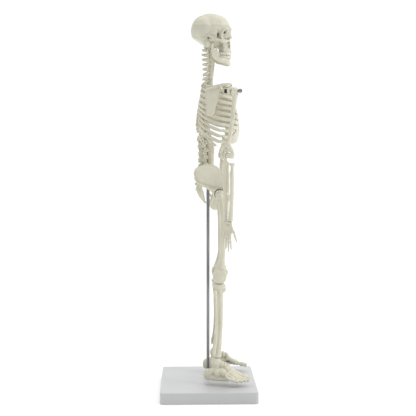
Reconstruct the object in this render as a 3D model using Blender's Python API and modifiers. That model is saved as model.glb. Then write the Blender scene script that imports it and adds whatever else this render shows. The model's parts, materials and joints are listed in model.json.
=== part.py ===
"""Human skeleton model, 45 cm tall, on a steel rod and a flat base.

The figure faces -Y and its own right side is at -X.  +Z is up, and the origin is the middle of
the underside of the base, on the axis of the rod.

Places are written in millimetres as (out, forward, up): out is the distance from the middle
plane, forward is the distance towards -Y from the rod.  A pair of pieces is made by one
function, which is called once for each side.
"""

import math

import bmesh
import bpy
from mathutils import Matrix, Vector

MM = 0.001
RIGHT, LEFT = -1, 1
SIDE_NAMES = {RIGHT: "right", LEFT: "left"}

# ---- driving dimensions, in millimetres ----
GAP = 0.3
BASE_WIDTH, BASE_DEPTH, BASE_HEIGHT = 122.0, 113.0, 13.4
BASE_CORNER, BASE_EDGE = 3.6, 1.3
ROD_RADIUS, ROD_BOTTOM, ROD_TOP = 1.85, 2.2, 290.0
NUT_WIDTH, NUT_HEIGHT, NUT_POCKET = 7.0, 3.2, 6.5

SKULL_CUT = 434.1
SKULL_BOTTOM = 409.6
BRAIN_MIDDLE = (3.1, 429.2)
BRAIN_HALF = (18.3, 23.4, 20.6)
HOLLOW_MIDDLE = (3.1, 431.4)
HOLLOW_HALF = (16.1, 21.2, 16.2)
NECK_PEG_UP = (400.6, 412.8)
NAPE_MIDDLE, NAPE_SLOPE = (-10.5, 416.9), math.radians(29.8)
JAW_AXIS = (5.0, 411.8)
NECK_AXIS = 4.2

CERVICAL_TOP, THORACIC_TOP, LUMBAR_TOP, SACRUM_TOP = 409.2, 371.5, 309.8, 266.7
SHOULDER = (45.0, 29.7, 356.1)
SHOULDER_YAW = math.radians(55.0)
ELBOW = (48.0, 20.6, 283.0)
WRIST_UP = 208.6
HIP = (25.0, 13.0, 238.2)
HIP_BALL = 5.6
KNEE = (21.5, 13.0, 141.4)
KNEE_RADIUS = 8.2
ANKLE_UP = 46.5
SOLE_UP = 18.4
FOOT_TURN = math.radians(16.0)
PIN_RADIUS = 0.8
PIN_ROOM = 0.3
FORK_ROOM = 0.4

IVORY = (0.735, 0.715, 0.630)
STEEL = (0.560, 0.570, 0.580)
DARK_STEEL = (0.160, 0.160, 0.165)
BASE_WHITE = (0.700, 0.705, 0.715)
TOOTH_WHITE = (0.830, 0.820, 0.770)


# ---- scene, materials and small tools ----
def clear_scene():
    for thing in list(bpy.data.objects):
        bpy.data.objects.remove(thing, do_unlink=True)


def make_collection(name):
    collection = bpy.data.collections.new(name)
    bpy.context.scene.collection.children.link(collection)
    return collection


def make_material(name, colour, roughness, metallic):
    material = bpy.data.materials.new(name)
    material.use_nodes = True
    shader = material.node_tree.nodes["Principled BSDF"]
    shader.inputs["Base Color"].default_value = (*colour, 1.0)
    shader.inputs["Roughness"].default_value = roughness
    shader.inputs["Metallic"].default_value = metallic
    material.diffuse_color = (*colour, 1.0)
    return material


clear_scene()
FIGURE = make_collection("human_skeleton_model")
CUTTERS = make_collection("cutters")


def at(place, side=LEFT):
    """World place, in metres, of (out, forward, up) on one side."""
    out, forward, up = place
    return Vector((side * out, -forward, up)) * MM


def new_mesh(shape, name="shape"):
    mesh = bpy.data.meshes.new(name)
    shape.to_mesh(mesh)
    shape.free()
    return mesh


def smooth_path(points, steps=4):
    """Points along a Catmull-Rom curve through tuples of numbers of any length."""
    rows = [Vector(point) for point in points]
    rows = [rows[0] * 2 - rows[1]] + rows + [rows[-1] * 2 - rows[-2]]
    path = []
    for before, first, second, after in zip(rows, rows[1:], rows[2:], rows[3:]):
        for step in range(steps):
            t = step / steps
            path.append(
                first
                + (second - before) * (0.5 * t)
                + (before * 2 - first * 5 + second * 4 - after) * (0.5 * t * t)
                + (first * 3 - before - second * 3 + after) * (0.5 * t * t * t)
            )
    path.append(rows[-2])
    return path


def between(stops, value):
    """Read a table of (position, result) stops in rising order, with straight runs."""
    for (low, low_result), (high, high_result) in zip(stops, stops[1:]):
        if value <= high:
            part = max(0.0, (value - low) / (high - low))
            return low_result + part * (high_result - low_result)
    return stops[-1][1]


# ---- closed shapes, each returned as a mesh ----
def ball(place, half, side=LEFT, turn=None, rings=10):
    """Ellipsoid with half sizes (out, forward, up)."""
    shape = bmesh.new()
    bmesh.ops.create_uvsphere(shape, u_segments=rings * 2 - 4, v_segments=rings, radius=1.0)
    matrix = Matrix.Translation(at(place, side)) @ (turn or Matrix())
    shape.transform(matrix @ Matrix.Diagonal((*[size * MM for size in half], 1.0)))
    return new_mesh(shape)


def block(place, size, side=LEFT, turn=None):
    """Box with full sizes (out, forward, up)."""
    shape = bmesh.new()
    bmesh.ops.create_cube(shape, size=1.0)
    matrix = Matrix.Translation(at(place, side)) @ (turn or Matrix())
    shape.transform(matrix @ Matrix.Diagonal((*[length * MM for length in size], 1.0)))
    return new_mesh(shape)


def round_bar(start, end, radius, end_radius=None, sides=16):
    """Cylinder or cone between two world places, with flat ends."""
    line = end - start
    shape = bmesh.new()
    bmesh.ops.create_cone(
        shape, cap_ends=True, segments=sides, depth=line.length,
        radius1=radius * MM, radius2=(end_radius or radius) * MM,
    )
    turn = line.to_track_quat("Z", "Y").to_matrix().to_4x4()
    shape.transform(Matrix.Translation((start + end) / 2) @ turn)
    return new_mesh(shape)


def curve_mesh(curve):
    """Mesh of a curve, with its caps joined on."""
    thing = bpy.data.objects.new("curve", curve)
    bpy.context.scene.collection.objects.link(thing)
    bpy.context.view_layer.update()
    graph = bpy.context.evaluated_depsgraph_get()
    mesh = bpy.data.meshes.new_from_object(thing.evaluated_get(graph))
    shape = bmesh.new()
    shape.from_mesh(mesh)
    bmesh.ops.remove_doubles(shape, verts=shape.verts, dist=0.00001)
    bmesh.ops.recalc_face_normals(shape, faces=shape.faces)
    shape.to_mesh(mesh)
    shape.free()
    bpy.data.objects.remove(thing, do_unlink=True)
    return mesh


def tube(rows, side=LEFT, steps=4, sides_step=2):
    """Rounded rod through rows of (out, forward, up, radius), smoothed between them."""
    path = smooth_path(rows, steps)
    curve = bpy.data.curves.new("tube", "CURVE")
    curve.dimensions = "3D"
    curve.bevel_depth = MM
    curve.bevel_resolution = sides_step
    curve.use_fill_caps = True
    line = curve.splines.new("POLY")
    line.points.add(len(path) - 1)
    for point, row in zip(line.points, path):
        point.co = (*at(row[:3], side), 1.0)
        point.radius = row[3]
    return curve_mesh(curve)


def strap(rows, thickness, side=LEFT, steps=4):
    """Flat upright band through rows of (out, forward, up, height)."""
    mean = sum(row[3] for row in rows) / len(rows)
    outline = bpy.data.curves.new("outline", "CURVE")
    outline.dimensions = "2D"
    ring = outline.splines.new("POLY")
    ring.use_cyclic_u = True
    ring.points.add(7)
    for number, point in enumerate(ring.points):
        angle = math.tau * number / 8
        point.co = (MM * math.cos(angle) * thickness / mean / 2, MM * math.sin(angle) / 2, 0, 1.0)
    profile = bpy.data.objects.new("outline", outline)
    bpy.context.scene.collection.objects.link(profile)
    path = smooth_path(rows, steps)
    curve = bpy.data.curves.new("strap", "CURVE")
    curve.dimensions = "3D"
    curve.twist_mode = "Z_UP"
    curve.bevel_mode = "OBJECT"
    curve.bevel_object = profile
    curve.use_fill_caps = True
    line = curve.splines.new("POLY")
    line.points.add(len(path) - 1)
    for point, row in zip(line.points, path):
        point.co = (*at(row[:3], side), 1.0)
        point.radius = row[3]
    mesh = curve_mesh(curve)
    bpy.data.objects.remove(profile, do_unlink=True)
    return mesh


def plate(edge_a, edge_b, thickness, side=LEFT, steps=3):
    """Solid sheet between two edges, each a list of (out, forward, up)."""
    shape = bmesh.new()
    rows = []
    for edge in (edge_a, edge_b):
        rows.append([shape.verts.new(at(point, side)) for point in smooth_path(edge, steps)])
    for a, b, c, d in zip(rows[0], rows[0][1:], rows[1][1:], rows[1]):
        shape.faces.new((a, b, c, d))
    thing = bpy.data.objects.new("plate", new_mesh(shape))
    bpy.context.scene.collection.objects.link(thing)
    solid = thing.modifiers.new("thickness", "SOLIDIFY")
    solid.thickness = thickness * MM
    solid.offset = 0.0
    mesh = evaluated_mesh(thing)
    bpy.data.objects.remove(thing, do_unlink=True)
    return mesh


def evaluated_mesh(thing):
    bpy.context.view_layer.update()
    graph = bpy.context.evaluated_depsgraph_get()
    return bpy.data.meshes.new_from_object(thing.evaluated_get(graph))


def join_shapes(meshes):
    shape = bmesh.new()
    for mesh in meshes:
        shape.from_mesh(mesh)
    bmesh.ops.recalc_face_normals(shape, faces=shape.faces)
    return new_mesh(shape)


# ---- sub-parts ----
def place_part(name, mesh, material, pivot=None):
    """Put a finished mesh in the figure, with its origin on its joint's axis if it has one."""
    part = bpy.data.objects.new(name, mesh)
    origin = pivot or Vector((0, 0, 0))
    mesh.transform(Matrix.Translation(-origin))
    part.location = origin
    mesh.materials.clear()
    mesh.materials.append(material)
    mesh.shade_smooth()
    mesh.set_sharp_from_angle(angle=math.radians(40))
    FIGURE.objects.link(part)
    return part


def moulded_mesh(meshes, grain, triangles):
    """One skin around overlapping shapes, thinned out to about a number of triangles."""
    blank = bpy.data.objects.new("blank", join_shapes(meshes))
    bpy.context.scene.collection.objects.link(blank)
    skin = blank.modifiers.new("skin", "REMESH")
    skin.mode = "VOXEL"
    skin.voxel_size = grain * MM
    blank.data = evaluated_mesh(blank)
    blank.modifiers.clear()
    thin = blank.modifiers.new("thin", "DECIMATE")
    thin.use_collapse_triangulate = True
    faces = sum(len(face.vertices) - 2 for face in blank.data.polygons)
    thin.ratio = min(1.0, triangles / faces)
    mesh = evaluated_mesh(blank)
    bpy.data.objects.remove(blank, do_unlink=True)
    return mesh


def cut(part, meshes, operation="DIFFERENCE"):
    """Cut shapes out of a part, or add them to it with the operation UNION."""
    for number, mesh in enumerate(meshes, len(part.modifiers) + 1):
        cutter = bpy.data.objects.new(f"{part.name}_cutter_{number}", mesh)
        cutter.hide_render = True
        cutter.display_type = "WIRE"
        CUTTERS.objects.link(cutter)
        boolean = part.modifiers.new(f"cut_{number}", "BOOLEAN")
        boolean.operation = operation
        boolean.solver = "EXACT"
        boolean.object = cutter


def above(up):
    return block((0, 0, up + 150), (300, 300, 300))


def below(up):
    return block((0, 0, up - 150), (300, 300, 300))


def outside(out, side):
    return block((out + 150, 0, 250), (300, 300, 600), side)


def inside(out, side):
    return block((out - 150, 0, 250), (300, 300, 600), side)


# ---- stand ----
def make_stand(white, steel, dark):
    shape = bmesh.new()
    bmesh.ops.create_cube(shape, size=1.0)
    shape.transform(
        Matrix.Translation((0, 0, BASE_HEIGHT / 2 * MM))
        @ Matrix.Diagonal((BASE_WIDTH * MM, BASE_DEPTH * MM, BASE_HEIGHT * MM, 1.0))
    )
    upright = [edge for edge in shape.edges if abs(edge.verts[0].co.z - edge.verts[1].co.z) > MM]
    bmesh.ops.bevel(
        shape, geom=upright, offset=BASE_CORNER * MM, segments=6, profile=0.5, affect="EDGES"
    )
    rim = [edge for edge in shape.edges if min(v.co.z for v in edge.verts) > BASE_HEIGHT * 0.9 * MM]
    rim = [edge for edge in rim if edge.is_boundary or edge.calc_face_angle(0) > 1.0]
    bmesh.ops.bevel(
        shape, geom=rim, offset=BASE_EDGE * MM, segments=3, profile=0.5, affect="EDGES"
    )
    base = place_part("base", new_mesh(shape), white)
    middle = Vector((0, 0, 0))
    top = Vector((0, 0, BASE_HEIGHT + 1)) * MM
    pocket = round_bar(middle - Vector((0, 0, MM)), Vector((0, 0, NUT_POCKET * MM)), 6.5, sides=24)
    hole = round_bar(middle - Vector((0, 0, MM)), top, ROD_RADIUS + GAP, sides=20)
    cut(base, [pocket, hole])

    bottom = Vector((0, 0, ROD_BOTTOM * MM))
    rod = round_bar(bottom, Vector((0, 0, ROD_TOP * MM)), ROD_RADIUS, sides=20)
    place_part("support_rod", rod, steel)

    nut_top = NUT_POCKET - 1.0 - GAP * 2
    low = Vector((0, 0, (nut_top - NUT_HEIGHT) * MM))
    high = Vector((0, 0, nut_top * MM))
    nut = place_part("rod_nut", round_bar(low, high, NUT_WIDTH / 2 / 0.866, sides=6), dark)
    cut(nut, [round_bar(low - Vector((0, 0, MM)), high + Vector((0, 0, MM)), ROD_RADIUS + GAP)])
    low = Vector((0, 0, (NUT_POCKET - 1.0 - GAP) * MM))
    high = Vector((0, 0, (NUT_POCKET - GAP) * MM))
    washer = place_part("rod_washer", round_bar(low, high, 5.4, sides=20), steel)
    cut(washer, [round_bar(low - Vector((0, 0, MM)), high + Vector((0, 0, MM)), ROD_RADIUS + GAP)])


# ---- spine ----
SPINE_LINE = [(225.2, 1.5), (267.1, 2.6), (289.0, 3.2), (309.8, -1.0), (327.6, -3.4), (347.3, -1.6),
              (370.9, 2.6), (389.5, 4.8), (408.2, 4.4)]
SPINE_TIPS = [(267.1, -12.0), (284.0, -11.5), (297.9, -11.7), (309.8, -13.5), (316.7, -14.9),
              (325.6, -14.2), (340.4, -11.7), (350.2, -9.5), (363.0, -8.6), (375.8, -6.4),
              (391.5, -7.2), (404.0, -8.0), (409.6, -7.0)]
COLUMNS = {
    "cervical_spine": dict(top=CERVICAL_TOP, bottom=THORACIC_TOP, count=7, half=(4.0, 3.2),
                           wing=6.0, triangles=440),
    "thoracic_spine": dict(top=THORACIC_TOP, bottom=LUMBAR_TOP, count=12, half=(4.0, 3.7),
                           wing=6.4, triangles=760),
    "lumbar_spine": dict(top=LUMBAR_TOP, bottom=SACRUM_TOP, count=5, half=(5.6, 4.4),
                         wing=9.5, triangles=380),
}


def make_column(name, ivory):
    """A run of vertebrae with their discs: bodies, arches, side and rear processes."""
    plan = COLUMNS[name]
    pitch = (plan["top"] - plan["bottom"]) / plan["count"]
    wide, deep = plan["half"]
    pieces = []
    for number in range(plan["count"]):
        up = plan["top"] - pitch * (number + 0.5)
        front = between(SPINE_LINE, up)
        tip = between(SPINE_TIPS, up)
        tall = pitch * 0.36
        rise = pitch * 0.30
        pieces.append(ball((0, front, up), (wide, deep, pitch * 0.62)))
        pieces.append(block((0, front, up), (wide * 1.3, deep * 1.3, pitch * 1.02)))
        pieces.append(tube([(0, front - deep, up, tall), (0, (front - deep + tip) / 2, up, tall * 0.8),
                            (0, tip + 0.6, up - rise, tall * 0.62)], steps=2))
        for side in (RIGHT, LEFT):
            pieces.append(tube([(0.6, front - deep * 0.8, up, tall * 0.8),
                                (plan["wing"] * 0.6, front - deep - 1.0, up, tall * 0.72),
                                (plan["wing"] - 0.7, front - deep - 1.6, up + 0.2, 1.0)], side, steps=2))
            pieces.append(ball((wide * 0.62, front - deep * 1.15, up), (1.6, 1.5, pitch * 0.56), side))
    part = place_part(name, moulded_mesh(pieces, 0.55, plan["triangles"]), ivory)
    cut(part, [above(plan["top"] - GAP / 2), below(plan["bottom"] + GAP / 2)])
    return part


def rod_bore():
    return round_bar(Vector((0, 0, 0.2)), Vector((0, 0, (ROD_TOP + 1.0) * MM)), ROD_RADIUS + 0.4)


def neck_bar(spare, radius):
    low, high = NECK_PEG_UP
    return round_bar(at((0, NECK_AXIS, low - spare)), at((0, NECK_AXIS, high + spare)), radius, sides=12)


def make_spine(ivory, steel):
    for name in COLUMNS:
        part = make_column(name, ivory)
        if name == "lumbar_spine":
            cut(part, [rod_bore()])
        if name == "cervical_spine":
            cut(part, [neck_bar(0.5, 1.5)])
    place_part("neck_peg", neck_bar(0, 1.1), steel)

    pieces = [tube([(0, 2.0, 267.1, 5.6), (0, 0.6, 261.1, 5.4), (0, -5.6, 253.2, 4.4), (0, -9.2, 245.2, 3.4),
                    (0, -8.6, 237.2, 2.4), (0, -5.0, 230.2, 1.6), (0, -2.6, 226.2, 1.2)])]
    for side in (RIGHT, LEFT):
        pieces.append(tube([(3.0, 0.5, 263.6, 3.4), (7.0, -2.5, 259.1, 3.6), (7.5, -6.5, 252.2, 2.9),
                            (4.5, -9.0, 244.2, 2.2)], side))
    for number in range(4):
        up = 262.1 - 6.3 * number
        pieces.append(ball((0, between([(243.2, -13.2), (255.2, -14.8), (265.1, -12.6)], up), up),
                           (1.3, 2.4, 2.0)))
        pieces.append(ball((0, between([(243.2, -10.5), (255.2, -11.0), (265.1, -8.0)], up), up),
                           (3.0, 3.6, 2.2)))
    sacrum = place_part("sacrum_and_coccyx", moulded_mesh(pieces, 0.6, 300), ivory)
    cut(sacrum, [above(SACRUM_TOP - GAP / 2), rod_bore()]
        + [outside(8.2, side) for side in (RIGHT, LEFT)])


# ---- chest ----
RIB_PITCH = (THORACIC_TOP - LUMBAR_TOP) / 12
RIB_WIDTHS = [15.5, 21.0, 24.5, 26.5, 28.5, 30.2, 31.8, 33.0, 33.4, 33.0]
RIB_ENDS = [(9.5, 22.0), (14.0, 27.0), (17.5, 30.0), (20.0, 31.5), (22.5, 32.0),
            (25.0, 31.0), (27.5, 28.5), (30.0, 24.0), (32.0, 19.0), (32.5, 14.0)]
STERNUM = [(4.6, 26.0, 353.2), (4.4, 27.2, 349.8), (2.9, 30.0, 344.3), (3.1, 33.0, 335.5),
           (3.6, 35.0, 324.6), (3.5, 35.7, 313.7), (1.8, 34.6, 305.8), (0.9, 31.6, 295.5)]


def rib_rows(number):
    """Points of a rib from its head beside the spine to the end of its bone."""
    start = THORACIC_TOP - RIB_PITCH * (number - 0.5)
    spine = between(SPINE_LINE, start)
    wide = RIB_WIDTHS[number - 1]
    end_out, end_forward = RIB_ENDS[number - 1]
    side_drop = 9.5 + 1.5 * (number - 1)
    end_drop = side_drop + 0.24 * (end_forward - 12.0)
    back = max(-11.0, spine - 5.4 - 0.9 * number)
    middle = 5.0 if number > 2 else 8.0
    return [
        (6.9, spine - 4.6, start, 2.4),
        (max(9.5, wide * 0.42), back, start - side_drop * 0.22, 3.0),
        (wide * 0.80, back + 6.2, start - side_drop * 0.60, 3.6),
        (wide, middle + 6.0, start - side_drop, 4.0),
        ((wide + end_out) / 2 + 1.6, (middle + 6.0 + end_forward) / 2 + 2.2,
         start - (side_drop + end_drop) / 2, 3.9),
        (end_out, end_forward, start - end_drop, 3.8),
    ]


def make_chest(ivory):
    pieces = []
    edges = [[(side * out, forward, up) for out, forward, up in STERNUM] for side in (RIGHT, LEFT)]
    pieces.append(plate(edges[0], edges[1], 2.2))
    joins = [351.0, 345.3, 339.4, 333.5, 327.8, 322.0, 316.3]
    for side in (RIGHT, LEFT):
        ends = []
        for number in range(1, 11):
            rows = rib_rows(number)
            pieces.append(strap(rows, 1.7, side, steps=3))
            ends.append(rows[-1])
        for end, join in zip(ends, joins):
            front = between([(294.9, 31.6), (305.8, 34.4), (313.7, 35.6), (324.6, 35.0), (335.5, 33.0),
                             (344.3, 30.0), (353.2, 26.0)], join)
            middle = ((end[0] + 2.4) / 2, (end[1] + front) / 2 + 1.0, (end[2] + join) / 2 - 0.6, 3.8)
            pieces.append(strap([end, middle, (2.0, front, join, 3.6)], 1.8, side, steps=2))
        for lower, upper in zip(ends[:6:-1], ends[-2:5:-1]):
            middle = ((lower[0] + upper[0]) / 2 - 2.0, (lower[1] + upper[1]) / 2 + 1.6,
                      (lower[2] + upper[2]) / 2 - 2.6, 2.6)
            goal = (upper[0] - 1.5, upper[1] + 0.8, upper[2] - 0.6, 2.6)
            pieces.append(strap([lower, middle, goal], 1.8, side, steps=2))
        pieces.append(strap([(26.5, 27.5, 303.3, 2.6), (17.0, 32.0, 305.3, 2.6), (8.0, 34.6, 309.3, 2.6),
                             (2.0, 35.2, 312.2, 2.4)], 1.8, side, steps=2))
        pieces.append(strap([(31.0, 19.5, 300.5, 2.6), (28.5, 25.0, 301.5, 2.6),
                             (26.0, 28.0, 303.8, 2.6)], 1.8, side, steps=2))
    cage = place_part("rib_cage", moulded_mesh(pieces, 0.5, 2100), ivory)
    cut(cage, [block((0, 0, 332.5), (13.4, 36, 120))])

    for side in (RIGHT, LEFT):
        for number, tip in ((11, (26.5, 9.0, 294.3)), (12, (20.5, -3.0, 293.9))):
            start = THORACIC_TOP - RIB_PITCH * (number - 0.5)
            spine = between(SPINE_LINE, start)
            rows = [(6.9, spine - 4.4, start, 1.2), (11.0, -10.0, start - 3.6, 1.3),
                    ((11.0 + tip[0]) / 2 + 2.4, (tip[1] - 10.0) / 2 - 2.0,
                     (start - 3.6 + tip[2]) / 2, 1.3), (*tip, 0.9)]
            mesh = tube(rows, side, steps=3, sides_step=1)
            rib = place_part(f"rib_{number}_{SIDE_NAMES[side]}", mesh, ivory)
            cut(rib, [inside(6.2 + GAP, side)])


# ---- shoulder ----
def shoulder_place(axial, back, rise, side):
    """World place from the middle of the ball of the arm: along the screw, back and up."""
    out, forward, up = SHOULDER
    turn_out, turn_forward = math.cos(SHOULDER_YAW), math.sin(SHOULDER_YAW)
    return at((out + axial * turn_out + back * turn_forward,
               forward + axial * turn_forward - back * turn_out, up + rise), side)


def elbow_row(axial, back, up, *size):
    """(out, forward, up) from the elbow's middle: along the elbow pin and to the rear."""
    turn_out, turn_forward = math.cos(SHOULDER_YAW), math.sin(SHOULDER_YAW)
    return (ELBOW[0] + axial * turn_out + back * turn_forward,
            ELBOW[1] + axial * turn_forward - back * turn_out, up, *size)


def make_shoulder(side, ivory, steel, dark):
    name = SIDE_NAMES[side]
    rear_edge = [(25.8, -2.4, 363.5), (28.0, -3.0, 348.3), (31.0, -1.2, 329.8)]
    front_edge = [(36.8, 13.0, 362.0), (36.8, 9.4, 347.3), (34.9, 5.6, 332.2)]
    pieces = [plate(rear_edge, front_edge, 1.7, side)]
    for edge in (rear_edge, front_edge):
        pieces.append(tube([(*point, 1.1) for point in edge], side, steps=2))
    pieces.append(tube([(26.4, -2.4, 359.7, 1.1), (32.6, 4.4, 362.2, 1.3), (38.6, 15.0, 363.8, 1.5),
                        (42.2, 24.4, 363.9, 1.8)], side, steps=3))
    pieces.append(tube([(37.0, 15.4, 359.7, 1.9), (36.8, 22.0, 360.5, 1.4), (37.4, 27.4, 359.5, 1.3)],
                       side, steps=3))
    boss = (shoulder_place(-14.6, 0, 1.0, side), shoulder_place(-5.2, 0, 0.6, side))
    pieces.append(round_bar(*boss, 4.2, 4.8))
    scapula = place_part(f"scapula_{name}", moulded_mesh(pieces, 0.5, 340), ivory)
    turn = Matrix.Rotation(side * (math.pi / 2 - SHOULDER_YAW), 4, "Z")
    middle = shoulder_place(-10.8, 3.4, 0.6, side)
    pocket = block((0, 0, 0), (12.0, 3.8, 6.6))
    pocket.transform(Matrix.Translation(middle) @ turn)
    hole = round_bar(shoulder_place(-20, 0, 0, side), shoulder_place(0, 0, 0, side), 1.35)
    cut(scapula, [pocket, hole])

    rod = round_bar(shoulder_place(-13.6, 0, 0, side), shoulder_place(8.0, 0, 0, side), 0.95, sides=12)
    screw = place_part(f"shoulder_screw_{name}", rod, steel)
    head = round_bar(shoulder_place(5.6, 0, 0, side), shoulder_place(8.4, 0, 0, side), 2.3, sides=16)
    cut(screw, [head], "UNION")
    flats = round_bar(shoulder_place(-12.4, 0, 0, side), shoulder_place(-9.2, 0, 0, side), 2.7, sides=6)
    nut = place_part(f"shoulder_nut_{name}", flats, dark)
    cut(nut, [hole.copy()])

    rows = [(6.6, 28.0, 355.4, 1.6), (13.0, 30.2, 357.3, 1.3), (25.0, 27.8, 360.7, 1.2),
            (38.8, 25.6, 363.4, 1.4)]
    place_part(f"clavicle_{name}", tube(rows, side, steps=3), ivory)


# ---- arm ----
def make_arm(side, ivory, steel):
    name = SIDE_NAMES[side]
    pivot = at(SHOULDER, side)
    elbow = at(ELBOW, side)
    pieces = [
        ball(SHOULDER, (4.3, 4.3, 4.3), side),
        tube([(45.4, 30.2, 354.2, 3.7), (45.9, 29.2, 346.3, 3.1), (46.6, 26.2, 324.6, 2.7),
              (47.5, 22.8, 300.9, 2.8), (47.9, 21.2, 290.9, 3.2)], side),
        tube([elbow_row(-6.2, 0.2, 287.5, 1.8), elbow_row(-3.6, 0, 290.0, 2.6), elbow_row(0, 0, 292.4, 3.0),
              elbow_row(3.6, 0, 290.0, 2.6), elbow_row(7.8, 0.2, 287.5, 1.9)], side, steps=2),
    ]
    ends = [at(elbow_row(axial, 0, ELBOW[2]), side) for axial in (-6.0, 8.0)]
    pieces.append(round_bar(*ends, 3.5, sides=20))
    for axial in (-5.6, 7.4):
        pieces.append(ball(elbow_row(axial, 0.1, 285.6), (1.9, 1.9, 2.6), side))
    humerus = place_part(f"humerus_{name}", moulded_mesh(pieces, 0.6, 300), ivory, pivot)
    bolt = round_bar(shoulder_place(-8, 0, 0, side), shoulder_place(5.3, 0, 0, side), 1.3, sides=12)
    room = round_bar(shoulder_place(5.3, 0, 0, side), shoulder_place(12, 0, 0, side), 4.6)
    slot = [at(elbow_row(axial, 0, ELBOW[2]), side) for axial in (-4.1, -0.3)]
    pin_ends = [at(elbow_row(axial, 0, ELBOW[2]), side) for axial in (-11, 11)]
    pin_hole = round_bar(*pin_ends, PIN_RADIUS + PIN_ROOM, sides=12)
    cut(humerus, [bolt, room, round_bar(*slot, 5.4, sides=20), pin_hole])

    tongue = [at(elbow_row(axial, 0, ELBOW[2]), side) for axial in (-3.7, -0.7)]
    pieces = [
        round_bar(*tongue, 3.5, sides=20),
        ball(elbow_row(-2.2, 2.2, 284.6), (1.45, 1.45, 2.2), side),
        tube([elbow_row(-2.2, 0.8, 281.6, 1.4), elbow_row(-2.3, 0.7, 278.0, 1.5),
              elbow_row(-2.6, 0.7, 272.0, 2.5), elbow_row(-3.6, 0.4, 248.2, 2.2),
              elbow_row(-3.4, 0.2, 228.2, 1.9), elbow_row(-2.8, 0, 216.2, 1.9),
              elbow_row(-2.4, 0, 206.0, 2.1)], side),
    ]
    ulna = place_part(f"ulna_{name}", moulded_mesh(pieces, 0.45, 260), ivory, elbow)
    pin_hole = round_bar(*pin_ends, PIN_RADIUS + PIN_ROOM, sides=12)
    cut(ulna, [pin_hole, below(WRIST_UP + GAP / 2)])

    rows = [elbow_row(6.0, -1.2, 274.6, 2.7), elbow_row(6.0, -1.2, 271.4, 2.6),
            elbow_row(5.8, -1.2, 266.8, 2.0), elbow_row(5.8, -1.2, 248.2, 2.2),
            elbow_row(5.2, -1.0, 228.2, 2.3), elbow_row(4.4, -0.6, 215.2, 2.8),
            elbow_row(4.0, -0.4, 206.6, 3.0)]
    radius = place_part(f"radius_{name}", tube(rows, side, steps=2), ivory, elbow)
    cut(radius, [below(WRIST_UP + GAP / 2)])

    pin_ends = [at(elbow_row(axial, 0, ELBOW[2]), side) for axial in (-5.7, 7.7)]
    place_part(f"elbow_pin_{name}", round_bar(*pin_ends, PIN_RADIUS, sides=12), steel, elbow)
    make_hand(side, ivory, elbow)


def make_hand(side, ivory, pivot):
    """Wrist bones as one cluster, then four fingers and a thumb."""
    top = WRIST_UP
    pieces = [ball(elbow_row(0.9, 0, top - 4.2), (4.0, 4.6, 4.6), side),
              ball(elbow_row(-2.2, 0, top - 2.0), (2.4, 2.4, 3.2), side),
              ball(elbow_row(3.8, -0.2, top - 2.0), (2.9, 2.9, 3.2), side)]
    fingers = [(-3.2, -5.6, 182.4), (-1.0, -2.0, 176.4), (1.3, 1.4, 173.2), (3.6, 4.8, 175.6)]
    for start, end, tip in fingers:
        knuckle = top - 4.4 - (top - 4.4 - tip) * 0.46
        rows = [elbow_row(start * 0.8 + 0.4, 0, top - 4.5, 1.3), elbow_row(start, 0.2, top - 9.5, 1.05),
                elbow_row(start + (end - start) * 0.5, 0.2, knuckle, 1.45),
                elbow_row(start + (end - start) * 0.7, -0.4, (knuckle + tip) / 2, 1.05),
                elbow_row(end, -1.3, tip, 0.9)]
        pieces.append(tube(rows, side, steps=3))
    thumb = [elbow_row(3.8, -0.6, top - 4.0, 1.8), elbow_row(7.2, -1.6, top - 11.6, 1.4),
             elbow_row(9.6, -2.4, top - 18.6, 1.5), elbow_row(11.2, -2.8, top - 24.2, 1.05)]
    pieces.append(tube(thumb, side, steps=3))
    pieces.append(ball(elbow_row(0.6, 0.1, top - 8.5), (2.4, 3.2, 3.6), side))
    hand = place_part(f"hand_{SIDE_NAMES[side]}", moulded_mesh(pieces, 0.45, 560), ivory, pivot)
    cut(hand, [above(top - GAP / 2)])


# ---- hip and leg ----
def knee_bar(low, high, radius, side, sides=24):
    start = at((low, KNEE[1], KNEE[2]), side)
    return round_bar(start, at((high, KNEE[1], KNEE[2]), side), radius, sides=sides)


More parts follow.
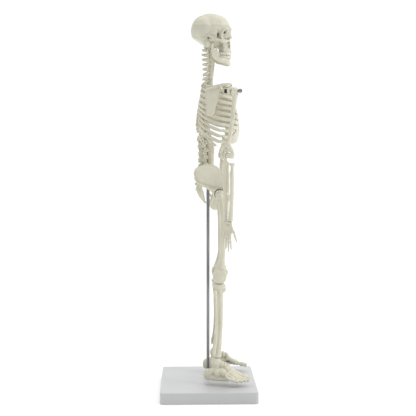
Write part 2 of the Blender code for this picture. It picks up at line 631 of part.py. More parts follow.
def make_hip_bone(side, ivory, steel):
    name = SIDE_NAMES[side]
    crest = [(9.6, -15.6, 260.1), (13.6, -13.4, 266.7), (21.0, -6.0, 270.7), (28.6, 3.0, 270.9),
             (34.0, 11.0, 266.7), (35.4, 16.6, 259.5)]
    root = [(9.6, -12.4, 251.2), (13.2, -6.6, 249.0), (18.4, 2.0, 246.6), (22.4, 8.0, 246.2),
            (26.0, 13.0, 246.8), (29.4, 17.4, 248.8)]
    pieces = [plate(crest, root, 2.3, side)]
    pieces.append(tube([(*point, 1.7) for point in crest], side, steps=2))
    pieces.append(tube([(9.8, -14.0, 259.1, 1.8), (10.0, -13.2, 253.2, 1.8), (13.2, -7.2, 249.4, 1.8),
                        (18.0, 1.4, 245.2, 3.4), (21.0, 7.0, 242.2, 4.4)], side))
    pieces.append(tube([(35.2, 16.8, 259.1, 1.6), (31.6, 17.6, 252.2, 1.6), (27.0, 16.4, 246.8, 2.6)],
                       side))
    pieces.append(ball((21.4, 13.0, 239.4), (7.0, 8.6, 8.4), side, rings=12))
    pieces.append(tube([(20.0, 8.8, 234.2, 4.2), (17.6, 5.4, 227.6, 3.6), (16.0, 5.4, 223.8, 3.0),
                        (12.0, 10.0, 221.0, 2.1), (7.0, 16.4, 221.8, 1.8), (3.2, 21.0, 226.2, 2.2)],
                       side, steps=3))
    pieces.append(tube([(19.4, 16.4, 240.2, 3.0), (12.0, 21.4, 238.4, 2.0), (5.4, 24.2, 235.0, 2.2),
                        (2.4, 23.6, 231.2, 2.9), (2.6, 22.0, 226.8, 2.2)], side, steps=3))
    bone = place_part(f"hip_bone_{name}", moulded_mesh(pieces, 0.7, 420), ivory)
    socket = ball(HIP, (HIP_BALL + 0.6,) * 3, side, rings=10)
    mouth = round_bar(at((HIP[0] + 0.7, *HIP[1:]), side), at((40, *HIP[1:]), side), HIP_BALL + 0.4, 9.6)
    sacral = block((0, -10, 259.1), (16.8 + GAP, 34, 34), side)
    pin_hole = round_bar(at((10, *HIP[1:]), side), at((26, *HIP[1:]), side), 1.35, sides=12)
    cut(bone, [socket, mouth, sacral, inside(GAP / 2, side), pin_hole])
    pin = round_bar(at((15.4, *HIP[1:]), side), at((27.4, *HIP[1:]), side), 1.0, sides=12)
    place_part(f"hip_pin_{name}", pin, steel, at(HIP, side))


def make_leg(side, ivory, steel):
    name = SIDE_NAMES[side]
    hip = at(HIP, side)
    knee = at(KNEE, side)
    out, forward, up = KNEE
    pieces = [
        ball(HIP, (HIP_BALL,) * 3, side, rings=14),
        tube([(26.0, 13.0, 237.8, 3.6), (31.0, 13.0, 235.4, 3.4), (35.0, 13.2, 232.6, 4.2)], side),
        ball((36.2, 12.2, 234.2), (3.4, 4.6, 5.0), side),
        ball((30.4, 10.4, 221.8), (2.4, 2.2, 2.8), side),
        tube([(34.6, 13.2, 232.2, 4.2), (33.4, 15.4, 219.2, 3.6), (30.2, 16.6, 195.1, 3.3),
              (26.2, 16.4, 169.0, 3.4), (22.8, 14.6, 153.9, 4.8), (21.6, 13.0, 145.8, 6.6)], side),
        knee_bar(out - 8.4, out + 8.4, KNEE_RADIUS - 0.6, side),
        knee_bar(out - 7.4, out + 7.4, KNEE_RADIUS, side),
        ball((out, forward + 7.4, up + 4.4), (4.4, 2.9, 5.0), side),
    ]
    femur = place_part(f"femur_{name}", moulded_mesh(pieces, 0.75, 360), ivory, hip)
    pin_hole = round_bar(at((15, *HIP[1:]), side), at((28.4, *HIP[1:]), side), 1.35, sides=12)
    slot = block((out, forward + 3.4 - 15, up + 3.4 - 15), (3.6 + FORK_ROOM * 2, 30, 30), side)
    ring = knee_bar(out - 1.8 - FORK_ROOM, out + 1.8 + FORK_ROOM, 5.1, side)
    cut(femur, [pin_hole, slot, ring, knee_bar(out - 12, out + 12, PIN_RADIUS + PIN_ROOM, side, 12)])

    pieces = [
        ball((out, forward - 0.6, 129.6), (8.6, 8.0, 6.0), side, rings=12),
        tube([(21.6, 12.6, 127.2, 5.6), (21.8, 13.6, 118.4, 4.2), (22.8, 14.0, 97.1, 3.5),
              (24.8, 13.0, 67.6, 3.3), (26.2, 11.2, 53.0, 4.1), (26.4, 10.6, 44.0, 4.5)], side),
        ball((23.0, 10.2, 48.6), (1.9, 2.6, 3.2), side),
    ]
    tibia = place_part(f"tibia_{name}", moulded_mesh(pieces, 0.7, 320), ivory, knee)
    room = knee_bar(out - 14, out + 14, KNEE_RADIUS + 0.4, side)
    stem = block((out, forward, up - 6.5), (3.6, 6.0, 13.0), side)
    tongue = knee_bar(out - 1.8, out + 1.8, 4.6, side)
    pin_hole = knee_bar(out - 12, out + 12, PIN_RADIUS + PIN_ROOM, side, 12)
    ankle_hole = round_bar(at((26.4, 10.4, 30), side), at((26.4, 10.4, 55.4), side), 1.3, sides=12)
    cut(tibia, [room])
    cut(tibia, [stem, tongue], "UNION")
    cut(tibia, [pin_hole, below(ANKLE_UP + GAP / 2), ankle_hole])
    pin = knee_bar(out - 8.0, out + 8.0, PIN_RADIUS, side, 12)
    place_part(f"knee_pin_{name}", pin, steel, knee)

    rows = [(30.6, 7.8, 125.5, 2.1), (30.6, 7.8, 121.5, 1.9), (29.8, 8.6, 110.3, 1.4),
            (30.2, 9.0, 87.0, 1.4), (31.2, 8.2, 67.6, 1.5), (32.4, 6.6, 56.0, 2.0), (32.6, 6.2, 50.0, 1.6)]
    place_part(f"fibula_{name}", tube(rows, side, steps=2), ivory, knee)

    pin = round_bar(at((26.4, 10.4, 36.6), side), at((26.4, 10.4, 54.6), side), 1.0, sides=12)
    place_part(f"ankle_pin_{name}", pin, steel, knee)
    make_foot(side, ivory, knee)


def foot_row(along, aside, up, *size):
    """(out, forward, up) from the heel: along the turned-out foot and to its outer side."""
    turn_out, turn_forward = math.sin(FOOT_TURN), math.cos(FOOT_TURN)
    return (23.4 + along * turn_out + aside * turn_forward,
            -5.0 + along * turn_forward - aside * turn_out, up, *size)


def make_foot(side, ivory, pivot):
    pieces = [
        ball(foot_row(5.0, 0.4, 25.6), (4.2, 5.8, 7.2), side),
        tube([foot_row(6.0, 0.4, 25.4, 4.6), foot_row(13.0, 0.2, 31.0, 4.6),
              foot_row(19.0, 0, 33.5, 5.0)], side, steps=3),
        ball(foot_row(15.0, -0.2, 39.4), (4.8, 6.2, 7.8), side),
        ball(foot_row(24.0, -1.0, 35.6), (6.0, 7.4, 5.6), side),
        ball(foot_row(20.0, 3.8, 27.0), (4.0, 7.4, 4.8), side),
        tube([foot_row(4.6, 0.6, 22.4, 4.0), foot_row(16.0, 2.4, 22.2, 3.8),
              foot_row(30.0, 2.2, 22.4, 4.0)], side, steps=3),
    ]
    toes = [(-4.4, -5.6, 54.6, 3.3, 34.0), (-2.2, -1.8, 54.0, 2.2, 33.4), (0.0, 1.8, 51.6, 2.1, 31.4),
            (2.4, 5.2, 48.0, 2.0, 29.0), (4.6, 8.2, 43.6, 2.0, 26.4)]
    for start, end, tip, thick, rise in toes:
        knuckle = tip - 14.0
        rows = [foot_row(24.0, start, rise, thick + 0.9), foot_row(31.0, (start + end) / 2, rise - 1.6, thick),
                foot_row(knuckle, end, SOLE_UP + thick + 3.4, thick + 0.7),
                foot_row((knuckle + tip) / 2, end, SOLE_UP + thick + 1.2, thick),
                foot_row(tip, end, SOLE_UP + thick + 0.4, thick * 0.9)]
        pieces.append(tube(rows, side, steps=3))
    foot = place_part(f"foot_{SIDE_NAMES[side]}", moulded_mesh(pieces, 0.6, 540), ivory, pivot)
    pin_hole = round_bar(at((26.4, 10.4, 35.4), side), at((26.4, 10.4, 61.5), side), 1.3, sides=12)
    cut(foot, [above(ANKLE_UP - GAP / 2), below(SOLE_UP), pin_hole])


# ---- head ----
TEETH_TOP, BITE_UP, TEETH_BOTTOM = 403.6, 400.5, 397.4


def skull_pieces():
    pieces = [
        ball((0, *BRAIN_MIDDLE), BRAIN_HALF, rings=24),
        ball((0, -8.0, 421.0), (13.6, 10.4, 8.6), rings=14),
        ball((0, 2.0, 414.6), (9.6, 9.0, 6.2), rings=14),
        block((0, 12.0, 409.4), (11.0, 7.0, 11.0)),
        ball((0, 19.4, 409.6), (8.6, 7.2, 10.0), rings=14),
        ball((0, 20.0, 404.8), (8.4, 8.0, 4.8), rings=12),
        tube([(0, 25.4, 428.0, 2.0), (0, 27.0, 423.6, 1.5), (0, 28.0, 421.0, 1.1)], steps=2),
    ]
    for side in (RIGHT, LEFT):
        pieces += [
            tube([(0, 25.0, 429.8, 2.0), (6.5, 24.6, 431.2, 2.1), (13.0, 20.8, 429.8, 2.0),
                  (14.6, 18.6, 425.0, 1.7), (13.6, 18.6, 419.0, 2.0), (11.0, 20.2, 415.6, 2.4),
                  (6.6, 23.0, 416.0, 1.9)], side, steps=3),
            tube([(12.8, 18.8, 417.0, 2.6), (15.8, 15.0, 416.0, 1.8), (18.0, 9.0, 416.4, 1.5),
                  (17.6, 3.0, 417.6, 1.6), (15.6, -0.6, 418.8, 2.4)], side, steps=3),
            ball((14.0, -0.6, 412.6), (3.0, 3.4, 4.6), side),
            ball((12.4, 3.2, 418.6), (3.4, 4.4, 3.0), side),
            tube([(11.0, 18.8, 414.0, 2.6), (8.0, 20.0, 408.0, 2.2)], side, steps=2),
        ]
    return pieces


def nape_block():
    """Everything under the sloping underside of the back of the skull."""
    mesh = block((0, 0, -20), (60, 60, 40))
    turn = Matrix.Rotation(NAPE_SLOPE, 4, "X")
    mesh.transform(Matrix.Translation(at((0, *NAPE_MIDDLE))) @ turn)
    return mesh


def jaw_bar(low, high, radius, side, sides=12):
    start = at((low, *JAW_AXIS), side)
    return round_bar(start, at((high, *JAW_AXIS), side), radius, sides=sides)


def make_head(ivory, tooth, steel):
    """Skull with a cap that lifts off, and a jaw hinged on two pins."""
    outer = moulded_mesh(skull_pieces(), 0.75, 1150)
    hollow = ball((0, *HOLLOW_MIDDLE), HOLLOW_HALF, rings=11)
    pivot = at((0, NECK_AXIS, SKULL_BOTTOM))

    skull = place_part("skull_base", outer.copy(), ivory, pivot)
    cuts = [above(SKULL_CUT - GAP / 2), hollow, nape_block(),
            block((0, 21, TEETH_TOP - 20), (60, 26, 40)),
            ball((0, 28.2, 415.0), (2.9, 5.0, 4.4), rings=8),
            neck_bar(0.5, 1.5), block((0, NECK_AXIS, SKULL_BOTTOM - 20), (18, 17, 40))]
    for side in (RIGHT, LEFT):
        cuts += [ball((7.9, 25.8, 423.4), (4.9, 8.0, 4.5), side, rings=8),
                 jaw_bar(12.2, 19.0, 2.9, side), jaw_bar(8.6, 13.0, 1.0, side, 12)]
    cut(skull, cuts)

    cap = place_part("calvarium", outer.copy(), ivory)
    cut(cap, [below(SKULL_CUT + GAP / 2), hollow])
    for name, forward in (("front", 23.3), ("rear", -17.1)):
        low, high = at((0, forward, SKULL_CUT - 3.6)), at((0, forward, SKULL_CUT + 2.4))
        place_part(f"cap_peg_{name}", round_bar(low, high, 0.5, sides=10), steel)
        reach = at((0, 0, 1.4)) - at((0, 0, 0))
        cut(skull, [round_bar(low - reach, high, 0.8, sides=10)])
        cut(cap, [round_bar(low, high + reach, 0.8, sides=10)])

    arch = [(7.4, 11.0), (7.6, 16.4), (6.6, 22.4), (3.7, 25.9), (0, 26.9)]
    arch += [(-out, forward) for out, forward in arch[-2::-1]]
    for name, low, high in (("upper_teeth", BITE_UP + GAP / 2, TEETH_TOP - GAP),
                            ("lower_teeth", TEETH_BOTTOM + GAP, BITE_UP - GAP / 2)):
        middle = (low + high) / 2
        rows = [(out, forward, middle, high - low) for out, forward in arch]
        owner = pivot if name == "upper_teeth" else at((0, *JAW_AXIS))
        place_part(name, strap(rows, 2.3, steps=1), tooth, owner)

    pieces = []
    for side in (RIGHT, LEFT):
        pieces += [
            strap([(0, 24.4, 392.9, 8.6), (4.8, 23.4, 392.9, 8.4), (8.4, 18.2, 394.2, 7.2),
                   (11.4, 12.0, 395.6, 6.4), (13.6, 7.0, 397.8, 6.8)], 3.4, side, steps=3),
            tube([(13.6, 7.2, 396.4, 2.2), (14.4, 6.8, 401.3, 2.2), (14.8, 5.6, 407.1, 1.9),
                  (14.8, 5.0, 411.4, 1.9)], side, steps=3),
            tube([(13.4, 10.2, 397.4, 2.0), (14.2, 10.6, 403.2, 1.8), (14.2, 12.0, 409.7, 1.1)], side, steps=3),
            ball((14.3, 8.6, 401.3), (1.4, 3.6, 4.4), side),
            jaw_bar(13.0, 16.6, 2.2, side),
        ]
    jaw = place_part("mandible", moulded_mesh(pieces, 0.6, 500), ivory, at((0, *JAW_AXIS)))
    top = block((0, 20, TEETH_BOTTOM + 20), (26.0, 17, 40))
    cut(jaw, [top] + [jaw_bar(11.0, 15.9, 1.0, side, 12) for side in (RIGHT, LEFT)])
    for side in (RIGHT, LEFT):
        pin = jaw_bar(9.4, 15.5, 0.7, side, 12)
        place_part(f"jaw_pin_{SIDE_NAMES[side]}", pin, steel, at((0, *JAW_AXIS)))


# ---- the whole figure ----
def main():
    ivory = make_material("ivory_plastic", IVORY, 0.45, 0.0)
    tooth = make_material("tooth_plastic", TOOTH_WHITE, 0.35, 0.0)
    steel = make_material("rod_steel", STEEL, 0.25, 1.0)
    dark = make_material("dark_steel", DARK_STEEL, 0.4, 1.0)
    white = make_material("base_plastic", BASE_WHITE, 0.4, 0.0)
    make_stand(white, steel, dark)
    make_spine(ivory, steel)
    make_chest(ivory)
    make_head(ivory, tooth, steel)
    for side in (RIGHT, LEFT):
        make_shoulder(side, ivory, steel, dark)
        make_arm(side, ivory, steel)
        make_hip_bone(side, ivory, steel)
        make_leg(side, ivory, steel)


main()
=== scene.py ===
"""Looks of the human skeleton model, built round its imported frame.

Places are in millimetres as (out, forward, up): out is the distance from the middle plane,
forward is the distance towards -Y from the rod, and up is the height above the table.  A bone
that comes in a pair is made by one function, which is called once for each side.  Tables of
numbers give the places of a bone's own landmarks, with a radius or height where one follows.
"""

import json
import math

import bmesh
import bpy
from mathutils import Matrix, Vector, noise


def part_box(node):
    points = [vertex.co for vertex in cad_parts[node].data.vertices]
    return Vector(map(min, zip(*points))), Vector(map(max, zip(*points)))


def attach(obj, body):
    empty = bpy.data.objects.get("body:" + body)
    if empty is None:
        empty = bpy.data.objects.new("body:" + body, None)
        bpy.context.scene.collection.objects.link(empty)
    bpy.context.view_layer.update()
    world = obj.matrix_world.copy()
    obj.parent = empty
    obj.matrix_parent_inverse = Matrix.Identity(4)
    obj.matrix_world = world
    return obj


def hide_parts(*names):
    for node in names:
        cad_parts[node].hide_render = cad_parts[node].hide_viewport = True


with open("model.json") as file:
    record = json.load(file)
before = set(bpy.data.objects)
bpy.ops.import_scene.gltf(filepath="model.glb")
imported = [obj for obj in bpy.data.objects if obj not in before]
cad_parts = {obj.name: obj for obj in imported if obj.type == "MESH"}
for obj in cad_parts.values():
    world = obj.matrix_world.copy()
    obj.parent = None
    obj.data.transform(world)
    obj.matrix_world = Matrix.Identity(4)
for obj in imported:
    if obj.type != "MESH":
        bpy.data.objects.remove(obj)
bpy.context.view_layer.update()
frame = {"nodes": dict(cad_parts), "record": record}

MM = 0.001
SIDES = RIGHT, LEFT = -1, 1
SIDE_NAMES = {RIGHT: "right", LEFT: "left"}
BEHAVIOUR = frame["record"]["behaviour"]
BODY_OF = {node: body for body, nodes in BEHAVIOUR["bodies"].items() for node in nodes}
SLOT_OF = {entry["node"]: entry["material_slot"] for entry in frame["record"]["subparts"]}


# ---- places taken from the frame ----
def joint_place(name):
    """(out, forward, up) of a joint, in millimetres."""
    joint = next(joint for joint in BEHAVIOUR["joints"] if joint["name"] == name)
    x, y, z = joint["pos_m"]
    return abs(x) / MM, -y / MM, z / MM


def low_edge(node):
    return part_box(node)[0].z / MM


def high_edge(node):
    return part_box(node)[1].z / MM


SHOULDER = joint_place("shoulder_left")
ELBOW = joint_place("elbow_left")
HIP = joint_place("hip_left")
KNEE = joint_place("knee_left")
JAW = joint_place("jaw_open")
NECK_FORWARD = joint_place("head_turn")[1]
SKULL_CUT = (high_edge("skull_base") + low_edge("calvarium")) / 2
SKULL_BOTTOM = high_edge("cervical_spine") + 0.55
TEETH_TOP = low_edge("skull_base")
TEETH_BOTTOM = low_edge("lower_teeth")
# between separate pieces, and between the skull and its cap
GAP = 0.3
CAP_SEAM = 0.12
TOOTH_ROOT = 0.9
PIN_HOLE, SCREW_HOLE, ANKLE_HOLE = 1.1, 1.35, 1.3
PEG_HOLE, ROD_BORE, NUT_POCKET = 1.5, 2.25, 6.5
COLUMN_NODES = ["cervical_spine", "thoracic_spine", "lumbar_spine", "sacrum_and_coccyx"]
COLUMN_TOPS = [high_edge(name) + GAP / 2 for name in COLUMN_NODES]
WRIST_UP = high_edge("hand_left") + GAP / 2
ANKLE_UP = low_edge("tibia_left") - GAP / 2
SOLE_UP = low_edge("foot_right")
ROD_TOP = high_edge("support_rod")
SHOULDER_YAW = math.radians(55.0)
FOOT_TURN = math.radians(16.0)
KNEE_REACH = 8.2
BASE_CORNER, BASE_EDGE = 3.6, 1.3
ROD_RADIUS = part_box("support_rod")[1].x / MM


def at(place, side=LEFT):
    """World place, in metres, of (out, forward, up) on one side."""
    out, forward, up = place
    return Vector((side * out, -forward, up)) * MM


def smooth_path(points, steps=4):
    """Points along a Catmull-Rom curve through tuples of numbers of any length."""
    rows = [Vector(point) for point in points]
    rows = [rows[0] * 2 - rows[1]] + rows + [rows[-1] * 2 - rows[-2]]
    path = []
    for before, first, second, after in zip(rows, rows[1:], rows[2:], rows[3:]):
        for step in range(steps):
            t = step / steps
            path.append(
                first
                + (second - before) * (0.5 * t)
                + (before * 2 - first * 5 + second * 4 - after) * (0.5 * t * t)
                + (first * 3 - before - second * 3 + after) * (0.5 * t * t * t)
            )
    path.append(rows[-2])
    return path


def between(stops, value):
    """Read a table of (position, result) stops in rising order, with straight runs."""
    for (low, low_result), (high, high_result) in zip(stops, stops[1:]):
        if value <= high:
            part = max(0.0, (value - low) / (high - low))
            return low_result + part * (high_result - low_result)
    return stops[-1][1]


def put_in_scene(name, data):
    thing = bpy.data.objects.new(name, data)
    bpy.context.scene.collection.objects.link(thing)
    return thing


# ---- closed shapes, each returned as a mesh ----
def new_mesh(shape):
    mesh = bpy.data.meshes.new("shape")
    shape.to_mesh(mesh)
    shape.free()
    return mesh


def ball(place, half, side=LEFT, turn=None, rings=18):
    """Ellipsoid with half sizes (out, forward, up)."""
    shape = bmesh.new()
    bmesh.ops.create_uvsphere(shape, u_segments=rings * 2, v_segments=rings, radius=1.0)
    matrix = Matrix.Translation(at(place, side)) @ (turn or Matrix())
    shape.transform(matrix @ Matrix.Diagonal((*[size * MM for size in half], 1.0)))
    return new_mesh(shape)


def block(place, size, side=LEFT, turn=None):
    """Box with full sizes (out, forward, up)."""
    shape = bmesh.new()
    bmesh.ops.create_cube(shape, size=1.0)
    matrix = Matrix.Translation(at(place, side)) @ (turn or Matrix())
    shape.transform(matrix @ Matrix.Diagonal((*[length * MM for length in size], 1.0)))
    return new_mesh(shape)


def round_bar(start, end, radius, end_radius=None, sides=32):
    """Cylinder or cone between two world places, with flat ends."""
    line = end - start
    shape = bmesh.new()
    bmesh.ops.create_cone(
        shape, cap_ends=True, segments=sides, depth=line.length,
        radius1=radius * MM, radius2=(end_radius or radius) * MM,
    )
    turn = line.to_track_quat("Z", "Y").to_matrix().to_4x4()
    shape.transform(Matrix.Translation((start + end) / 2) @ turn)
    return new_mesh(shape)


def drum(place, half, tall, waist=0.86, sides=28):
    """Upright elliptical drum, drawn in at its middle: the body of a vertebra."""
    out, forward, up = place
    stations = [(-1.0, 0.86), (-0.86, 0.97), (-0.7, 1.0), (0, waist),
                (0.7, 1.0), (0.86, 0.97), (1.0, 0.86)]
    shape = bmesh.new()
    rings = []
    for share, size in stations:
        ring = []
        for number in range(sides):
            angle = math.tau * number / sides
            place = (out + half[0] * size * math.cos(angle), forward + half[1] * size * math.sin(angle),
                     up + tall / 2 * share)
            ring.append(shape.verts.new(at(place)))
        rings.append(ring)
    for low, high in zip(rings, rings[1:]):
        for number in range(sides):
            after = (number + 1) % sides
            shape.faces.new((low[number], low[after], high[after], high[number]))
    shape.faces.new(rings[0])
    shape.faces.new(rings[-1])
    bmesh.ops.recalc_face_normals(shape, faces=shape.faces)
    return new_mesh(shape)


def curve_mesh(curve):
    """Mesh of a curve, with its caps joined on."""
    thing = put_in_scene("curve", curve)
    mesh = evaluated_mesh(thing)
    shape = bmesh.new()
    shape.from_mesh(mesh)
    bmesh.ops.remove_doubles(shape, verts=shape.verts, dist=0.00001)
    bmesh.ops.recalc_face_normals(shape, faces=shape.faces)
    shape.to_mesh(mesh)
    shape.free()
    bpy.data.objects.remove(thing, do_unlink=True)
    return mesh


def fill_spline(curve, rows, side, steps):
    curve.dimensions = "3D"
    curve.use_fill_caps = True
    path = smooth_path(rows, steps)
    line = curve.splines.new("POLY")
    line.points.add(len(path) - 1)
    for point, row in zip(line.points, path):
        point.co = (*at(row[:3], side), 1.0)
        point.radius = row[3]


def tube(rows, side=LEFT, steps=6):
    """Rounded rod through rows of (out, forward, up, radius), smoothed between them."""
    curve = bpy.data.curves.new("tube", "CURVE")
    curve.bevel_depth = MM
    curve.bevel_resolution = 4
    fill_spline(curve, rows, side, steps)
    return curve_mesh(curve)


def strap(rows, thickness, side=LEFT, steps=6):
    """Flat upright band through rows of (out, forward, up, height)."""
    mean = sum(row[3] for row in rows) / len(rows)
    outline = bpy.data.curves.new("outline", "CURVE")
    outline.dimensions = "2D"
    ring = outline.splines.new("POLY")
    ring.use_cyclic_u = True
    ring.points.add(15)
    for number, point in enumerate(ring.points):
        angle = math.tau * number / 16
        wide, tall = math.cos(angle), math.sin(angle)
        wide = math.copysign(abs(wide) ** 0.7, wide)
        tall = math.copysign(abs(tall) ** 0.7, tall)
        point.co = (MM * wide * thickness / mean / 2, MM * tall / 2, 0, 1.0)
    profile = put_in_scene("outline", outline)
    curve = bpy.data.curves.new("strap", "CURVE")
    curve.twist_mode = "Z_UP"
    curve.bevel_mode = "OBJECT"
    curve.bevel_object = profile
    fill_spline(curve, rows, side, steps)
    mesh = curve_mesh(curve)
    bpy.data.objects.remove(profile, do_unlink=True)
    return mesh


def plate(edges, thickness, side=LEFT, steps=5):
    """Solid sheet through edges, each a list of (out, forward, up) with the same length."""
    shape = bmesh.new()
    grid = [smooth_path(edge, steps) for edge in edges]
    if len(grid) > 2:
        columns = [smooth_path(column, steps) for column in zip(*grid)]
        grid = list(zip(*columns))
    rows = [[shape.verts.new(at(point, side)) for point in line] for line in grid]
    for low, high in zip(rows, rows[1:]):
        for a, b, c, d in zip(low, low[1:], high[1:], high):
            shape.faces.new((a, b, c, d))
    thing = put_in_scene("plate", new_mesh(shape))
    solid = thing.modifiers.new("thickness", "SOLIDIFY")
    solid.thickness = thickness * MM
    solid.offset = 0.0
    mesh = evaluated_mesh(thing)
    bpy.data.objects.remove(thing, do_unlink=True)
    return mesh


def evaluated_mesh(thing):
    bpy.context.view_layer.update()
    graph = bpy.context.evaluated_depsgraph_get()
    return bpy.data.meshes.new_from_object(thing.evaluated_get(graph))


def join_shapes(meshes):
    shape = bmesh.new()
    for mesh in meshes:
        shape.from_mesh(mesh)
    bmesh.ops.recalc_face_normals(shape, faces=shape.faces)
    return new_mesh(shape)


def above(up):
    return block((0, 0, up + 150), (300, 300, 300))


def below(up):
    return block((0, 0, up - 150), (300, 300, 300))


def inside(out, side):
    return block((out - 125, 0, 250), (250, 300, 600), side)


def outside(out, side):
    return block((out + 125, 0, 250), (250, 300, 600), side)


def take_away(thing, cuts, solver):
    """Add a difference for each mesh in cuts, and return the objects that do the cutting."""
    cutters = [put_in_scene("cutter", mesh) for mesh in cuts]
    for cutter in cutters:
        boolean = thing.modifiers.new("cut", "BOOLEAN")
        boolean.operation = "DIFFERENCE"
        boolean.solver = solver
        boolean.object = cutter
    return cutters


def moulded(pieces, grain, cuts=(), relax=2, swell=0.0):
    """One smooth casting from overlapping closed shapes, less the shapes in cuts."""
    thing = put_in_scene("casting", join_shapes(pieces))

    def remesh():
        skin = thing.modifiers.new("skin", "REMESH")
        skin.mode = "VOXEL"
        skin.voxel_size = grain * MM

    remesh()
    cutters = take_away(thing, cuts, "MANIFOLD")
    if cutters:
        remesh()
    soften = thing.modifiers.new("soften", "SMOOTH")
    soften.factor = 0.5
    soften.iterations = relax
    mesh = evaluated_mesh(thing)
    for gone in [thing] + cutters:
        bpy.data.objects.remove(gone, do_unlink=True)
    if swell:
        roughen(mesh, swell)
    return mesh


def less(mesh, cuts, solver="EXACT"):
    """Crisp difference, with no smoothing after it."""
    thing = put_in_scene("stock", mesh)
    cutters = take_away(thing, cuts, solver)
    result = evaluated_mesh(thing)
    for gone in [thing] + cutters:
        bpy.data.objects.remove(gone, do_unlink=True)
    return result


def roughen(mesh, height):
    """Slight unevenness of a moulded bone: a slow swell and a finer one, in millimetres."""
    normals = [vertex.normal.copy() for vertex in mesh.vertices]
    for vertex, normal in zip(mesh.vertices, normals):
        spot = vertex.co / MM
        slow = noise.noise(spot * 0.23)
        fine = noise.noise(spot * 0.8)
        vertex.co += normal * ((slow + 0.4 * fine) * height * MM)


# ---- materials ----
def noise_node(tree, place, scale, detail=3.0, stretch=None):
    if stretch:
        mapping = tree.nodes.new("ShaderNodeMapping")
        mapping.inputs["Scale"].default_value = stretch
        tree.links.new(place, mapping.inputs["Vector"])
        place = mapping.outputs["Vector"]
    node = tree.nodes.new("ShaderNodeTexNoise")
    node.inputs["Scale"].default_value = scale
    node.inputs["Detail"].default_value = detail
    tree.links.new(place, node.inputs["Vector"])
    return node.outputs["Fac"]


def ramp_node(tree, source, stops):
    """Colour ramp through (position, colour) stops."""
    node = tree.nodes.new("ShaderNodeValToRGB")
    ramp = node.color_ramp
    while len(ramp.elements) < len(stops):
        ramp.elements.new(0.5)
    for element, (position, colour) in zip(ramp.elements, stops):
        element.position = position
        element.color = (*colour, 1.0)
    tree.links.new(source, node.inputs["Fac"])
    return node.outputs["Color"]


def grey(value):
    return (value, value, value)


def surface(name, colours, rough, bump, metallic=0.0, scales=(55.0, 900.0), stretch=None,
            painted_hollow_shade=None, edge=1.0):
    """Material with drifting colour and roughness, fine bump, and painted shade where the surface is
    hollow.
    """
    material = bpy.data.materials.new(name)
    material.use_nodes = True
    tree = material.node_tree
    shader = tree.nodes["Principled BSDF"]
    shader.inputs["Metallic"].default_value = metallic
    place = tree.nodes.new("ShaderNodeTexCoord").outputs["Object"]
    slow = noise_node(tree, place, scales[0], 4.0, stretch)
    fine = noise_node(tree, place, scales[1], 2.0, stretch)
    colour = ramp_node(tree, slow, [(0.32, colours[0]), (0.68, colours[1])])
    # Painted shade: where Pointiness is low (creases, gaps and hollow places), the colour is mixed
    # towards a dark brown that stands in for the shade falling there.
    if painted_hollow_shade:
        shape = tree.nodes.new("ShaderNodeNewGeometry").outputs["Pointiness"]
        depth = ramp_node(tree, shape, [(0.40, grey(1.0)), (0.50, grey(0.0))])
        mix = tree.nodes.new("ShaderNodeMix")
        mix.data_type = "RGBA"
        tree.links.new(depth, mix.inputs["Factor"])
        tree.links.new(colour, mix.inputs["A"])
        mix.inputs["B"].default_value = (*painted_hollow_shade, 1.0)
        colour = mix.outputs["Result"]
    tree.links.new(colour, shader.inputs["Base Color"])
    gloss = ramp_node(tree, fine, [(0.3, grey(rough[0])), (0.7, grey(rough[1]))])
    tree.links.new(gloss, shader.inputs["Roughness"])
    relief = tree.nodes.new("ShaderNodeBump")
    relief.inputs["Strength"].default_value = bump
    relief.inputs["Distance"].default_value = 0.0003
    tree.links.new(fine, relief.inputs["Height"])
    tree.links.new(relief.outputs["Normal"], shader.inputs["Normal"])
    shader.inputs["Specular Tint"].default_value = (*grey(edge), 1.0)
    return material


# The last colour given to each bone plastic is painted shade for its hollow places.
MATERIALS = {
    "ivory_plastic": surface(
        "ivory_plastic", [(0.545, 0.525, 0.42), (0.62, 0.60, 0.49)], (0.38, 0.52), 0.25,
        painted_hollow_shade=(0.40, 0.31, 0.19)),
    "skull_plastic": surface(
        "skull_plastic", [(0.50, 0.485, 0.39), (0.57, 0.555, 0.455)], (0.34, 0.48), 0.2,
        painted_hollow_shade=(0.36, 0.29, 0.19)),
    "tooth_plastic": surface(
        "tooth_plastic", [(0.58, 0.56, 0.46), (0.65, 0.63, 0.53)], (0.22, 0.32), 0.1,
        painted_hollow_shade=(0.42, 0.35, 0.24)),
    "steel": surface(
        "steel", [(0.16, 0.165, 0.17), (0.30, 0.305, 0.31)], (0.26, 0.42), 0.15, metallic=1.0, edge=0.3,
        scales=(30.0, 160.0), stretch=(14.0, 14.0, 0.6)),
    "dark_steel": surface(
        "dark_steel", [(0.035, 0.035, 0.038), (0.07, 0.07, 0.075)], (0.35, 0.5), 0.2,
        metallic=1.0, edge=0.3, scales=(300.0, 1500.0)),
    "base_plastic": surface(
        "base_plastic", [(0.47, 0.475, 0.48), (0.50, 0.505, 0.51)], (0.32, 0.44), 0.12,
        scales=(12.0, 2200.0)),
}


# ---- putting pieces on the frame ----
def show(node, mesh, material=None, crisp=False):
    """Show a fine mesh in place of a CAD node, on that node's body."""
    mesh.materials.clear()
    mesh.materials.append(MATERIALS[material or SLOT_OF[node]])
    mesh.shade_smooth()
    if crisp:
        mesh.set_sharp_from_angle(angle=math.radians(35.0))
    piece = put_in_scene(f"{node}_fine", mesh)
    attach(piece, BODY_OF[node])
    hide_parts(node)


def keep_node(node):
    """Show a CAD node as it is, with its finished material."""
    mesh = frame["nodes"][node].data
    mesh.materials.clear()
    mesh.materials.append(MATERIALS[SLOT_OF[node]])


